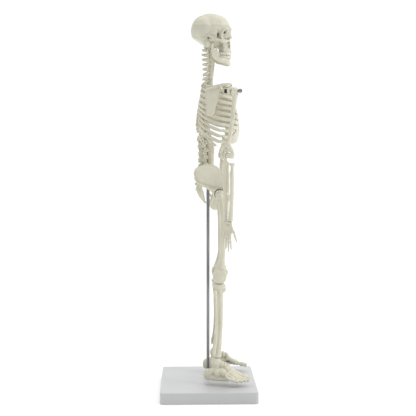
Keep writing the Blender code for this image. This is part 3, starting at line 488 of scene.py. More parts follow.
# ---- head ----
BRAIN = (3.1, 429.2)
BRAIN_HALF = (16.9, 23.4, 20.6)
HOLLOW = (3.1, 431.4)
HOLLOW_HALF = (15.2, 21.2, 16.2)
NAPE_MIDDLE, NAPE_SLOPE = (-10.5, 416.9), math.radians(29.8)
# (out, forward) along one side of the row of teeth
ARCH = [(0.0, 26.9), (3.7, 25.9), (6.6, 22.4), (7.6, 16.4), (7.4, 11.0)]


def braincase():
    """The skull without its face, with a hollow pressed in at each temple."""
    pieces = [
        ball((0, *BRAIN), BRAIN_HALF, rings=40),
        ball((0, -3.5, 431.0), (18.3, 16.4, 16.8), rings=36),
        ball((0, 11.0, 430.6), (15.2, 15.2, 17.4), rings=36),
        ball((0, -6.0, 422.0), (13.2, 9.6, 8.0), rings=28),
        ball((0, 3.4, 415.4), (9.6, 8.0, 6.2), rings=24),
    ]
    for side in SIDES:
        pieces.append(ball((7.5, -3.0, 419.5), (8.2, 8.0, 7.0), side))
    temples = [ball((17.6, 12.4, 420.4), (4.4, 4.8, 10.5), side) for side in SIDES]
    return pieces, temples + [nape_block()]


def nape_block():
    """Everything under the sloping underside of the back of the skull."""
    mesh = block((0, 0, -20), (60, 60, 40))
    turn = Matrix.Rotation(NAPE_SLOPE, 4, "X")
    mesh.transform(Matrix.Translation(at((0, *NAPE_MIDDLE))) @ turn)
    return mesh


def face(side):
    return [
        tube([(0, 25.2, 430.0, 2.2), (4.5, 25.6, 431.0, 2.1), (8.5, 24.6, 431.4, 2.0),
              (12.2, 20.8, 430.4, 1.9), (13.9, 17.6, 428.2, 1.6), (14.4, 15.4, 424.0, 1.5),
              (14.2, 15.4, 420.0, 1.6), (12.8, 17.6, 416.8, 2.2)], side),
        tube([(3.4, 25.0, 419.4, 1.2), (6.6, 24.6, 417.8, 1.4), (10.0, 22.4, 416.8, 1.7),
              (12.8, 19.2, 416.4, 2.4)], side),
        tube([(1.8, 25.6, 428.0, 1.2), (2.9, 25.6, 423.4, 1.1), (3.9, 25.2, 418.2, 1.2),
              (4.9, 24.8, 412.6, 1.7), (5.6, 23.8, 408.6, 2.2)], side),
        ball((12.2, 19.0, 415.0), (3.0, 2.8, 2.9), side, rings=14),
        tube([(12.6, 18.8, 415.2, 2.6), (15.6, 15.4, 415.8, 1.9), (17.4, 10.0, 417.6, 1.45),
              (17.9, 4.4, 420.0, 1.4), (16.9, 0.6, 421.8, 1.6), (14.6, -3.4, 423.2, 1.2)], side),
        tube([(11.6, 18.4, 413.6, 2.2), (8.6, 19.0, 409.4, 2.2), (7.4, 17.4, 406.2, 2.0)], side, steps=3),
        ball((14.2, -1.4, 413.2), (2.8, 3.6, 4.4), side, rings=14),
        ball((12.6, 3.4, 418.0), (3.6, 4.6, 2.6), side, rings=14),
        plate([[(4.6, 14.6, 412.0), (5.0, 14.0, 405.2)],
               [(6.8, 9.8, 412.0), (7.2, 10.2, 405.6)]], 1.1, side),
        tube([(6.6, 6.4, 413.0, 1.3), (7.2, 5.6, 408.6, 0.6)], side, steps=2),
    ]


def skull_cuts():
    cuts = [
        above(SKULL_CUT + 1.5),
        ball((0, *HOLLOW), HOLLOW_HALF, rings=32),
        block((0, 21, TEETH_TOP - 20), (60, 26, 40)),
        block((0, NECK_FORWARD, SKULL_BOTTOM - 20), (18, 17, 40)),
        ball((0, 28.6, 413.8), (3.3, 6.4, 3.9), rings=18),
        ball((0, 28.6, 417.2), (2.1, 5.4, 3.6), rings=18),
    ]
    for side in SIDES:
        orbit = Matrix.Rotation(side * math.radians(-14), 4, "Z")
        cuts += [
            ball((9.7, 25.6, 423.8), (4.4, 6.4, 4.4), side, orbit, rings=20),
            ball((11.2, 20.2, 424.4), (3.1, 3.9, 4.8), side, rings=16),
            ball((14.0, 11.3, 420.8), (2.7, 1.2, 5.4), side, rings=16),
            ball((15.2, 11.0, 426.4), (1.6, 0.6, 3.8), side, rings=12),
            ball((15.0, 12.4, 412.0), (5.4, 2.6, 4.6), side, rings=16),
            round_bar(at((12.6, 0.2, 419.6), side), at((21.0, -0.1, 419.6), side), 1.2, sides=16),
            ball((25.4, 3.4, 427.0), (8.6, 10.0, 8.4), side, rings=20),
            round_bar(at((11.9, *JAW[1:]), side), at((19.4, *JAW[1:]), side), 3.0, sides=24),
            ball((6.4, 24.4, 411.0), (1.8, 1.4, 3.0), side, rings=12),
        ]
    return cuts


def make_skull():
    case, temples = braincase()
    case = moulded(case, 0.5, temples, relax=3)
    bones = [case, ball((0, 19.4, 409.2), (8.4, 7.0, 9.6)), ball((0, 20.0, 405.2), (8.0, 7.9, 4.6)),
             block((0, 11.0, 411.6), (9.6, 8.0, 7.0)),
             tube([(0, 25.4, 429.0, 2.0), (0, 26.0, 425.6, 1.5), (0, 26.9, 422.6, 1.3),
                   (0, 28.0, 420.2, 0.8)], steps=4),
             tube([(0, 24.6, 409.6, 1.5), (0, 27.2, 410.0, 0.8)], steps=2)]
    for side in SIDES:
        bones += face(side)
    septum = block((0, 22.6, 414.6), (0.9, 6.0, 9.0))
    skull = moulded(bones, 0.42, skull_cuts(), relax=3)
    skull = moulded([skull, septum], 0.42, relax=2, swell=0.10)
    show("skull_base", less(skull, [above(SKULL_CUT - CAP_SEAM / 2)], "MANIFOLD"), "skull_plastic")
    cap, temples = braincase()
    cuts = temples + [below(SKULL_CUT - 1.5), ball((0, *HOLLOW), HOLLOW_HALF, rings=32)]
    cap = moulded(cap, 0.45, cuts, relax=3, swell=0.08)
    show("calvarium", less(cap, [below(SKULL_CUT + CAP_SEAM / 2)], "MANIFOLD"))


def tooth_row(node):
    """One row of teeth on its gum, with roots that run into the bone."""
    low, high = low_edge(node), high_edge(node)
    upper = node == "upper_teeth"
    top, bottom = (high + TOOTH_ROOT, low) if upper else (high, low - TOOTH_ROOT)
    path = smooth_path([(*point, 0.0) for point in ARCH], 12)
    lengths = [0.0]
    for a, b in zip(path, path[1:]):
        lengths.append(lengths[-1] + (b - a).length)
    widths = [2.5, 2.1, 2.4, 2.3, 2.3, 2.9, 2.8, 2.4]
    middle, tall = (low + high) / 2, high - low
    gum_middle = ((top if upper else bottom) + middle) / 2
    pieces = []
    for side in SIDES:
        rows = [(out, forward - 0.2, gum_middle, tall * 0.5 + TOOTH_ROOT) for out, forward in ARCH]
        pieces.append(strap(rows, 1.9, side))
        travelled = 0.0
        for number, width in enumerate(widths):
            centre = travelled + width / 2
            travelled += width
            place = next(k for k, length in enumerate(lengths) if length >= min(centre, lengths[-1]))
            spot = path[place]
            step = path[min(place + 1, len(path) - 1)] - path[max(place - 1, 0)]
            angle = -math.atan2(step.y, step.x) * side
            deep = 0.75 if number < 3 else 1.15
            crown = ball((spot.x, spot.y, middle), (width * 0.52, deep, tall * 0.56), side,
                         Matrix.Rotation(angle, 4, "Z"), rings=12)
            pieces.append(crown)
    return moulded(pieces, 0.24, [above(top), below(bottom)], relax=2)


def make_jaw():
    pieces = []
    for side in SIDES:
        pieces += [
            strap([(0, 24.4, 392.9, 8.4), (4.8, 23.4, 392.9, 8.2), (8.4, 18.2, 394.2, 7.0),
                   (11.4, 12.0, 395.7, 6.2), (13.4, 7.6, 398.0, 6.4)], 3.0, side),
            tube([(2.2, 25.0, 389.9, 1.5), (5.6, 22.6, 390.0, 1.3), (9.0, 17.0, 391.8, 1.1),
                  (11.8, 11.2, 393.5, 1.1), (13.4, 7.4, 396.2, 1.3)], side),
            plate([[(14.6, 4.2, 410.0), (14.5, 4.8, 405.0), (14.1, 5.6, 400.0), (13.3, 7.0, 395.6)],
                   [(14.5, 7.4, 406.4), (14.2, 7.6, 404.0), (13.6, 8.8, 400.0), (12.8, 10.0, 395.6)],
                   [(14.3, 10.0, 408.4), (13.9, 10.2, 405.0), (13.1, 11.6, 400.0), (11.8, 13.6, 395.6)]],
                  1.9, side),
            tube([(14.7, 4.8, 411.4, 1.7), (14.6, 4.6, 407.0, 1.5), (14.2, 5.2, 401.4, 1.4),
                  (13.5, 7.0, 396.6, 1.5)], side),
            tube([(14.2, 9.9, 409.6, 0.7), (13.9, 10.0, 406.4, 0.9), (12.9, 12.0, 400.4, 1.2),
                  (10.6, 15.2, 396.4, 1.2)], side),
            ball((14.8, *JAW[1:]), (2.0, 1.9, 1.9), side, rings=14),
        ]
    pieces.append(ball((0, 25.2, 390.9), (3.2, 1.7, 2.2), rings=14))
    notch = [ball((14.0, 7.8, 409.4), (4.0, 1.7, 3.4), side, rings=14) for side in SIDES]
    crown = block((0, 20, TEETH_BOTTOM - GAP + 20), (26.0, 17, 40))
    mental = [round_bar(at((8.0, 20.0, 393.4), side), at((11.4, 22.4, 393.8), side), 0.5, sides=12)
              for side in SIDES]
    show("mandible", moulded(pieces, 0.38, notch + [crown] + mental, relax=4, swell=0.08))


make_skull()
make_jaw()
for name in ("upper_teeth", "lower_teeth"):
    show(name, tooth_row(name))


# ---- spine ----
# tables of (up, forward): the middle of the spine, and the tips of its rear blades
SPINE_LINE = [(225.2, 1.5), (267.1, 2.6), (289.0, 3.2), (309.8, -1.0), (327.6, -3.4), (347.3, -1.6),
              (370.9, 2.6), (389.5, 4.8), (408.2, 4.4)]
SPINE_TIPS = [(267.1, -12.0), (284.0, -11.5), (297.9, -11.7), (309.8, -13.5), (316.7, -14.9),
              (325.6, -14.2), (340.4, -11.7), (350.2, -9.5), (363.0, -8.6), (375.8, -6.4),
              (391.5, -7.2), (404.0, -8.0), (409.6, -7.0)]
# (up, how far the tip of the blade hangs below its vertebra)
SPINE_FALLS = [(271.0, 1.5), (288.2, 4.2), (305.5, 6.0), (322.6, 9.2), (338.1, 9.6), (358.6, 7.6),
               (368.9, 4.5), (379.6, 2.2), (384.9, 0.4), (395.7, -0.3), (406.5, -0.8)]
COLUMNS = {
    "cervical_spine": dict(count=7, half=(4.0, 3.2), wing=6.0, blade=2.3, tall=0.62, facet=1.3),
    "thoracic_spine": dict(count=12, half=(4.0, 3.7), wing=6.4, blade=2.2, tall=0.54, facet=1.3),
    "lumbar_spine": dict(count=5, half=(5.6, 4.4), wing=9.5, blade=2.6, tall=0.84, facet=2.4),
}


def rod_bore():
    return round_bar(at((0, 0, 0.2)), at((0, 0, ROD_TOP + 1.0)), ROD_BORE)


def vertebra(plan, up, pitch):
    """One vertebra with the disc on top of it."""
    wide, deep = plan["half"]
    front = between(SPINE_LINE, up)
    fall = between(SPINE_FALLS, up)
    tip = between(SPINE_TIPS, up - fall)
    thick = pitch * 0.16
    root = front - deep - 2.4
    tall = pitch * plan["tall"]
    pieces = [
        drum((0, front, up), (wide, deep), pitch * 0.84, waist=0.93),
        drum((0, (front + between(SPINE_LINE, up + pitch / 2)) / 2, up + pitch / 2),
             (wide * 0.95, deep * 0.95), pitch * 0.34, waist=1.0),
        strap([(0, root + 1.4, up, pitch * 0.84),
               (0, root * 0.6 + tip * 0.4, up - fall * 0.35, tall * 1.15),
               (0, root * 0.25 + tip * 0.75, up - fall * 0.75, tall * 0.86),
               (0, tip + 0.5, up - fall, tall * 0.55)], plan["blade"]),
        ball((0, tip + 0.9, up - fall), (plan["blade"] * 0.58, 0.9, tall * 0.36), rings=12),
    ]
    for side in SIDES:
        pieces += [
            tube([(wide * 0.62, front - deep * 0.72, up + pitch * 0.1, thick * 1.2),
                  (wide * 0.86, front - deep - 0.7, up + pitch * 0.06, thick * 1.15),
                  (wide * 0.5, root, up - pitch * 0.05, thick * 1.2),
                  (0, root - 0.5, up - pitch * 0.1, thick)], side, steps=4),
            tube([(wide * 0.8, front - deep - 0.6, up, thick * 1.05),
                  (plan["wing"] * 0.8, front - deep - 1.4, up + 0.2, thick * 0.9),
                  (plan["wing"] - 0.8, front - deep - 1.8, up + 0.3, thick * 1.1)], side, steps=4),
            ball((wide * 0.76, front - deep - plan["facet"] * 0.5, up + pitch * 0.30),
                 (plan["facet"], plan["facet"] * 1.1, pitch * 0.27), side, rings=12),
            ball((wide * 0.66, front - deep - plan["facet"], up - pitch * 0.28),
                 (plan["facet"], plan["facet"] * 1.1, pitch * 0.27), side, rings=12),
        ]
    return pieces


def make_spine():
    for number, (name, plan) in enumerate(COLUMNS.items()):
        top, bottom = COLUMN_TOPS[number], COLUMN_TOPS[number + 1]
        pitch = (top - bottom) / plan["count"]
        pieces = []
        for level in range(plan["count"]):
            pieces += vertebra(plan, top - pitch * (level + 0.5), pitch)
        cuts = [above(top - GAP / 2), below(bottom + GAP / 2)]
        if name == "lumbar_spine":
            cuts.append(rod_bore())
        if name == "cervical_spine":
            low = at((0, NECK_FORWARD, low_edge("neck_peg") - 0.5))
            high = at((0, NECK_FORWARD, high_edge("neck_peg")))
            cuts.append(round_bar(low, high, PEG_HOLE))
        show(name, moulded(pieces, 0.34, cuts, relax=2, swell=0.05))
    keep_node("neck_peg")


def make_sacrum():
    pieces = [tube([(0, 2.0, 267.1, 5.4), (0, 0.2, 261.1, 5.2), (0, -6.2, 253.2, 4.7),
                    (0, -10.4, 245.6, 3.9), (0, -9.2, 239.6, 4.0), (0, -7.4, 234.6, 3.3),
                    (0, -5.2, 229.8, 1.9), (0, -3.4, 226.4, 1.1)]),
              drum((0, 2.4, 264.6), (5.6, 4.4), 4.4)]
    coccyx = [(0, -8.2, 236.0), (0, -6.8, 232.8), (0, -5.1, 229.9), (0, -3.5, 227.2)]
    for number, place in enumerate(coccyx):
        size = 2.6 - 0.42 * number
        pieces.append(ball(place, (size * 1.2, size, size * 1.1), rings=12))
    pieces.append(tube([(*place, 1.3 - 0.2 * number) for number, place in enumerate(coccyx)]))
    holes = []
    for side in SIDES:
        pieces += [
            tube([(3.0, 0.5, 263.6, 3.2), (7.0, -2.5, 259.1, 3.5), (7.6, -6.5, 252.2, 2.8),
                  (4.6, -9.2, 244.2, 2.0)], side),
            tube([(3.6, -4.4, 266.4, 1.3), (4.6, -7.6, 260.0, 1.2), (4.4, -10.6, 252.0, 1.0),
                  (3.0, -12.2, 245.0, 0.9)], side),
        ]
        for number in range(4):
            up = 260.2 - 4.9 * number
            out = 4.9 - 0.55 * number
            rear = between([(243.2, -12.6), (255.2, -11.8), (265.1, -8.0)], up)
            holes.append(ball((out, rear, up), (0.9, 2.2, 1.0), side, rings=10))
    for number in range(4):
        up = 262.1 - 6.3 * number
        tip = between([(243.2, -13.2), (255.2, -14.8), (265.1, -12.6)], up)
        pieces.append(strap([(0, tip + 5.0, up + 0.6, 3.4), (0, tip, up, 3.0)], 1.7, steps=3))
        pieces.append(ball((0, tip - 0.6, up - 0.2), (1.1, 1.5, 1.7), rings=12))
    cuts = holes + [above(COLUMN_TOPS[3] - GAP / 2), rod_bore()]
    cuts += [outside(8.2, side) for side in SIDES]
    show("sacrum_and_coccyx", moulded(pieces, 0.4, cuts, relax=3, swell=0.08))


# ---- chest ----
RIB_PITCH = (COLUMN_TOPS[1] - COLUMN_TOPS[2]) / 12
# for rib pairs 1 to 10: half width of the chest, height of the rib, how much higher the left rib
# of the pair sits, and (out, forward) of the end of its bone
RIB_WIDTHS = [15.5, 21.0, 24.5, 26.5, 28.5, 30.2, 31.8, 33.0, 33.4, 33.0]
RIB_TALLS = [4.0, 4.0, 4.0, 4.0, 4.1, 4.0, 3.4, 3.1, 3.1, 3.1]
LEFT_LIFTS = [0.2, -0.3, -0.5, -0.3, -0.3, -0.3, 0.9, 1.7, 1.3, 0.9]
RIB_ENDS = [(9.5, 22.0), (14.0, 27.0), (17.5, 30.0), (20.0, 31.5), (22.5, 32.0),
            (25.0, 31.0), (27.5, 28.5), (30.0, 24.0), (32.0, 19.0), (32.5, 14.0)]
# (half width, forward, up) down the breastbone, and (up, forward) of its front
STERNUM = [(5.0, 26.0, 353.6), (4.9, 27.0, 351.0), (3.2, 29.4, 345.6), (2.9, 30.2, 343.6),
           (3.2, 32.4, 337.5), (3.7, 34.4, 328.6), (4.0, 35.4, 319.6), (3.4, 35.7, 312.7),
           (1.9, 34.9, 307.6), (1.5, 33.4, 302.0), (0.8, 32.8, 299.0)]
STERNUM_LINE = [(294.9, 31.6), (305.8, 34.4), (313.7, 35.6), (324.6, 35.0), (335.5, 33.0),
                (344.3, 30.0), (353.2, 26.0)]
CARTILAGE_JOINS = [351.0, 345.3, 339.4, 333.5, 327.8, 322.0, 316.3]


def rib_rows(number, side):
    """Points of a rib from its head beside the spine to the end of its bone."""
    start = COLUMN_TOPS[1] - RIB_PITCH * (number - 0.5)
    spine = between(SPINE_LINE, start)
    wide = RIB_WIDTHS[number - 1]
    end_out, end_forward = RIB_ENDS[number - 1]
    side_drop = 9.5 + 1.5 * (number - 1)
    if side == LEFT:
        side_drop -= LEFT_LIFTS[number - 1]
    tall = RIB_TALLS[number - 1]
    end_drop = side_drop + 0.24 * (end_forward - 12.0)
    back = max(-11.0, spine - 5.4 - 0.9 * number)
    middle = 5.0 if number > 2 else 8.0
    return [
        (6.9, spine - 4.6, start, 2.2),
        (max(9.5, wide * 0.42), back, start - side_drop * 0.22, 2.9),
        (wide * 0.80, back + 6.2, start - side_drop * 0.60, tall * 0.94),
        (wide, middle + 6.0, start - side_drop, tall),
        ((wide + end_out) / 2 + 1.6, (middle + 6.0 + end_forward) / 2 + 2.2,
         start - (side_drop + end_drop) / 2, tall),
        (end_out, end_forward, start - end_drop, tall + 0.2),
    ]


def half_chest(side):
    pieces = []
    ends = []
    for number in range(1, 11):
        rows = rib_rows(number, side)
        pieces.append(strap(rows, 1.6, side, steps=8))
        out, forward, up, tall = rows[0]
        pieces.append(ball((out + 0.4, forward + 0.2, up), (1.3, 1.3, 1.5), side, rings=10))
        end = rows[-1]
        pieces.append(ball(end[:3], (1.2, 1.3, end[3] * 0.56), side, rings=12))
        ends.append(end)
    for end, join in zip(ends, CARTILAGE_JOINS):
        front = between(STERNUM_LINE, join)
        middle = ((end[0] + 2.4) / 2, (end[1] + front) / 2 + 1.0, (end[2] + join) / 2 - 0.6, 4.9)
        pieces.append(strap([end, middle, (2.0, front, join, 5.4)], 1.7, side))
    for lower, upper in zip(ends[:6:-1], ends[-2:5:-1]):
        middle = ((lower[0] + upper[0]) / 2 - 2.0, (lower[1] + upper[1]) / 2 + 1.6,
                  (lower[2] + upper[2]) / 2 - 2.6, 2.6)
        goal = (upper[0] - 1.5, upper[1] + 0.8, upper[2] - 0.6, 2.6)
        pieces.append(strap([lower, middle, goal], 1.8, side))
    pieces.append(strap([(29.5, 22.0, 300.0, 8.0), (24.0, 29.0, 302.0, 10.0), (14.0, 33.0, 306.2, 12.4),
                         (3.0, 35.2, 310.6, 10.2)], 1.7, side))
    return pieces


def make_chest():
    edges = [[(share * out, forward + 0.5 * (1 - abs(share)), up) for out, forward, up in STERNUM]
             for share in (-1.0, 0.0, 1.0)]
    pieces = [plate(edges, 2.2)]
    pieces.append(tube([(-4.4, 25.8, 352.6, 1.3), (0, 26.4, 352.2, 1.2), (4.4, 25.8, 352.6, 1.3)]))
    for side in SIDES:
        pieces += half_chest(side)
    hollow = block((0, 0, 332.5), (13.4, 36, 120))
    show("rib_cage", moulded(pieces, 0.46, [hollow], relax=1, swell=0.06))
    for side in SIDES:
        for number, tip in ((11, (26.5, 9.0, 294.3)), (12, (20.5, -3.0, 293.9))):
            start = COLUMN_TOPS[1] - RIB_PITCH * (number - 0.5)
            spine = between(SPINE_LINE, start)
            rows = [(7.0, spine - 4.4, start, 2.2), (11.0, -10.0, start - 3.6, 2.7),
                    ((11.0 + tip[0]) / 2 + 2.4, (tip[1] - 10.0) / 2 - 2.0,
                     (start - 3.6 + tip[2]) / 2, 2.7),
                    (*tip, 1.8)]
            rib = [strap(rows, 1.5, side), ball(rows[0][:3], (1.2, 1.2, 1.3), side, rings=10)]
            mesh = moulded(rib, 0.3, [inside(6.2 + GAP, side)], relax=2, swell=0.05)
            show(f"rib_{number}_{SIDE_NAMES[side]}", mesh)


make_spine()
make_sacrum()
make_chest()


# ---- shoulder ----
def shoulder_place(axial, back, rise, side):
    """World place from the middle of the ball of the arm: along the screw, back and up."""
    out, forward, up = SHOULDER
    turn_out, turn_forward = math.cos(SHOULDER_YAW), math.sin(SHOULDER_YAW)
    return at((out + axial * turn_out + back * turn_forward,
               forward + axial * turn_forward - back * turn_out, up + rise), side)


def elbow_bar(low, high, radius, side):
    """Cylinder along the elbow pin, between two distances from the elbow's middle."""
    ends = [at(elbow_row(axial, 0, ELBOW[2]), side) for axial in (low, high)]
    return round_bar(*ends, radius)


def elbow_tube(rows, side, steps=6):
    return tube([elbow_row(*row) for row in rows], side, steps)


def foot_tube(rows, side, steps=6):
    return tube([foot_row(*row) for row in rows], side, steps)


def shoulder_bar(low, high, radius, side, end_radius=None, sides=32, rise=0.0):
    """Cylinder or cone along the shoulder screw."""
    start, end = shoulder_place(low, 0, rise, side), shoulder_place(high, 0, rise, side)
    return round_bar(start, end, radius, end_radius, sides)


def elbow_row(axial, back, up, *size):
    """(out, forward, up) from the elbow's middle: along the elbow pin and to the rear."""
    turn_out, turn_forward = math.cos(SHOULDER_YAW), math.sin(SHOULDER_YAW)
    return (ELBOW[0] + axial * turn_out + back * turn_forward,
            ELBOW[1] + axial * turn_forward - back * turn_out, up, *size)


def make_shoulder(side):
    name = SIDE_NAMES[side]
    rear = [(25.8, -2.4, 363.3), (27.0, -3.1, 356.0), (28.0, -3.2, 348.3), (29.6, -2.4, 338.5),
            (31.0, -1.0, 330.6)]
    middle = [(31.0, 5.2, 362.6), (31.2, 3.4, 356.0), (31.6, 2.6, 348.0), (32.6, 2.2, 338.5),
              (33.0, 2.2, 329.4)]
    front = [(36.8, 13.4, 361.6), (36.6, 11.6, 354.0), (36.6, 9.6, 347.3), (35.8, 7.2, 339.0),
             (34.7, 5.4, 331.8)]
    boss = (shoulder_place(-14.4, 0, 1.0, side), shoulder_place(-5.1, 0, 0.6, side))
    pieces = [
        plate([rear, middle, front], 1.3, side),
        tube([(*point, 1.0) for point in rear], side),
        tube([(*point, 1.1) for point in front], side),
        tube([(31.0, -1.0, 330.8, 1.3), (33.0, 2.0, 329.6, 1.3), (34.7, 5.4, 332.0, 1.2)], side),
        tube([(26.0, -2.2, 363.0, 1.0), (31.0, 5.0, 363.0, 0.9), (36.4, 13.0, 361.8, 1.2)], side),
        plate([[(26.6, -3.2, 358.6), (32.4, 3.2, 361.0), (38.6, 13.6, 363.0), (41.8, 22.0, 363.4)],
               [(27.2, -2.0, 358.2), (31.6, 4.4, 359.8), (36.6, 13.8, 361.4), (39.6, 21.0, 362.6)]],
              1.2, side),
        tube([(26.6, -3.4, 358.8, 0.8), (32.8, 2.8, 361.4, 1.0), (39.2, 13.6, 363.6, 1.3),
              (42.4, 22.0, 364.1, 1.5), (42.6, 25.6, 363.9, 1.4)], side),
        plate([[(38.6, 15.0, 363.0), (40.8, 20.6, 363.6), (42.2, 26.0, 363.6)],
               [(41.4, 14.2, 363.0), (44.2, 19.8, 363.2), (44.8, 24.8, 363.2)]], 1.5, side),
        tube([(37.0, 15.4, 360.0, 1.9), (36.6, 20.4, 361.2, 1.4), (36.6, 25.0, 360.6, 1.2),
              (37.2, 28.0, 358.8, 1.1)], side),
        round_bar(*boss, 4.0, 4.8),
        shoulder_bar(-6.4, -5.0, 5.0, side, 4.7, rise=0.6),
    ]
    turn = Matrix.Rotation(side * (math.pi / 2 - SHOULDER_YAW), 4, "Z")
    pocket = block((0, 0, 0), (7.0, 4.6, 4.6))
    pocket.transform(Matrix.Translation(shoulder_place(-10.8, 3.4, 0, side)) @ turn)
    hole = shoulder_bar(-20, 0, SCREW_HOLE, side)
    show(f"scapula_{name}", moulded(pieces, 0.34, [pocket, hole], relax=3, swell=0.08))

    shaft = shoulder_bar(-13.6, 6.0, 0.95, side, sides=24)
    head = [shoulder_bar(5.6, 7.6, 2.3, side), shoulder_bar(7.6, 8.4, 2.3, side, 1.5)]
    slot = block((0, 0, 0), (2.0, 0.7, 6.0))
    slot.transform(Matrix.Translation(shoulder_place(8.8, 0, 0, side)) @ turn)
    show(f"shoulder_screw_{name}", moulded([shaft] + head, 0.22, [slot], relax=1))
    nut = shoulder_bar(-13.0, -8.6, 2.7, side, sides=6)
    show(f"shoulder_nut_{name}", moulded([nut], 0.22, [hole.copy()], relax=1))

    rows = [(6.6, 28.0, 355.4, 2.1), (8.4, 28.8, 355.9, 1.9), (13.0, 30.2, 357.3, 1.35),
            (19.0, 29.8, 359.0, 1.15), (25.0, 27.8, 360.7, 1.15), (32.0, 25.8, 362.2, 1.3),
            (36.4, 25.4, 363.0, 1.6), (38.6, 25.6, 363.3, 1.2)]
    show(f"clavicle_{name}", moulded([tube(rows, side)], 0.3, relax=2, swell=0.08))


# ---- arm ----
def shaft_rows(start, end, sizes):
    """Rows of a small long bone: radii at its base, middle and head."""
    base, middle, head = sizes
    shares = [(0.0, base * 0.8), (0.10, base), (0.28, (base + middle) / 2), (0.5, middle),
              (0.74, (head + middle) / 2), (0.90, head), (1.0, head * 0.8)]
    return [(*(Vector(start).lerp(Vector(end), share)), size) for share, size in shares]


def make_humerus(side):
    pieces = [
        ball(SHOULDER, (4.3, 4.3, 4.3), side, rings=24),
        ball((SHOULDER[0] + 1.9, SHOULDER[1] - 2.6, SHOULDER[2] - 2.0), (2.6, 2.6, 3.4), side),
        tube([(45.4, 30.0, 353.6, 3.6), (45.8, 29.2, 348.6, 3.1), (46.1, 28.2, 340.3, 2.65),
              (46.6, 26.2, 324.6, 2.5), (47.1, 24.4, 311.0, 2.35), (47.5, 22.8, 300.9, 2.5),
              (47.9, 21.2, 292.4, 3.0)], side),
        tube([(47.4, 28.6, 334.0, 1.2), (48.0, 27.4, 326.0, 1.5), (47.6, 26.2, 318.0, 1.0)], side),
        elbow_tube([(-5.6, 0.2, 286.8, 1.5), (-4.6, 0.1, 289.6, 1.8), (-2.6, 0, 293.6, 1.9),
                    (-1.0, 0, 298.6, 1.7)], side),
        elbow_tube([(7.2, 0.2, 286.8, 1.5), (5.6, 0.1, 290.0, 1.9), (3.0, 0, 294.4, 1.9),
                    (0.8, 0, 299.4, 1.7)], side),
        elbow_tube([(-4.6, 0, 288.6, 2.2), (0.8, 0, 289.6, 1.7), (5.8, 0, 288.6, 2.2)], side),
    ]
    pieces.append(elbow_bar(-6.0, 8.0, 3.0, side))
    for axial, size in ((-5.4, 3.4), (-2.0, 3.3), (2.6, 3.1), (6.2, 3.5)):
        pieces.append(ball(elbow_row(axial, 0, ELBOW[2]), (2.0, 2.0, size), side, rings=16))
        pieces.append(elbow_bar(axial - 1.2, axial + 1.2, size, side))
    for axial in (-6.2, 7.9):
        pieces.append(ball(elbow_row(axial, 0.2, 285.0), (1.5, 1.5, 2.4), side, rings=14))
        pieces.append(ball(elbow_row(axial, 0.0, 283.4), (1.3, 1.3, 1.8), side, rings=14))
    bolt = shoulder_bar(-8, 5.3, 1.3, side)
    room = shoulder_bar(5.3, 12, 4.6, side)
    fossa = ball(elbow_row(-2.2, 3.6, 289.6), (2.2, 2.2, 2.6), side, rings=14)
    cuts = [bolt, room, elbow_bar(-4.1, -0.3, 5.5, side), elbow_bar(-6.2, 8.1, PIN_HOLE, side), fossa]
    show(f"humerus_{SIDE_NAMES[side]}", moulded(pieces, 0.38, cuts, relax=3, swell=0.1))


def make_forearm(side):
    name = SIDE_NAMES[side]
    pin_hole = elbow_bar(-11, 11, PIN_HOLE, side)
    pieces = [
        elbow_bar(-3.6, -0.8, 3.4, side),
        ball(elbow_row(-2.2, 2.4, 284.8), (1.4, 1.4, 2.2), side, rings=14),
        elbow_tube([(-2.2, 1.0, 282.0, 1.4), (-2.2, 1.0, 279.0, 1.8), (-2.2, 0.9, 275.0, 2.6),
                    (-2.3, 0.8, 268.0, 2.7), (-2.6, 0.5, 250.0, 2.5), (-2.6, 0.3, 232.0, 2.3),
                    (-2.6, 0.1, 217.0, 2.0), (-2.6, 0, 211.4, 2.1), (-2.4, 0, 206.0, 2.1)], side),
        elbow_tube([(-1.9, -1.9, 277.6, 1.2), (-2.4, -1.0, 272.6, 1.3)], side, steps=3),
    ]
    show(f"ulna_{name}", moulded(pieces, 0.34, [pin_hole, below(WRIST_UP + GAP / 2)], relax=3, swell=0.1))
    rows = [(6.0, -1.2, 274.5, 2.5), (6.0, -1.2, 273.8, 2.8), (6.0, -1.2, 271.9, 2.7),
            (5.9, -1.2, 270.4, 1.8), (5.8, -1.2, 266.6, 1.8), (5.4, -1.2, 262.8, 2.3),
            (5.7, -1.2, 256.0, 2.3), (5.6, -1.2, 244.0, 2.4), (5.2, -1.1, 230.0, 2.4),
            (4.7, -0.8, 219.0, 2.6), (4.2, -0.4, 211.6, 3.0), (4.0, -0.4, 206.6, 3.0)]
    pieces = [elbow_tube(rows, side), ball(elbow_row(6.0, -0.6, 209.6), (1.2, 1.2, 2.6), side, rings=12)]
    show(f"radius_{name}", moulded(pieces, 0.34, [below(WRIST_UP + GAP / 2)], relax=3, swell=0.1))


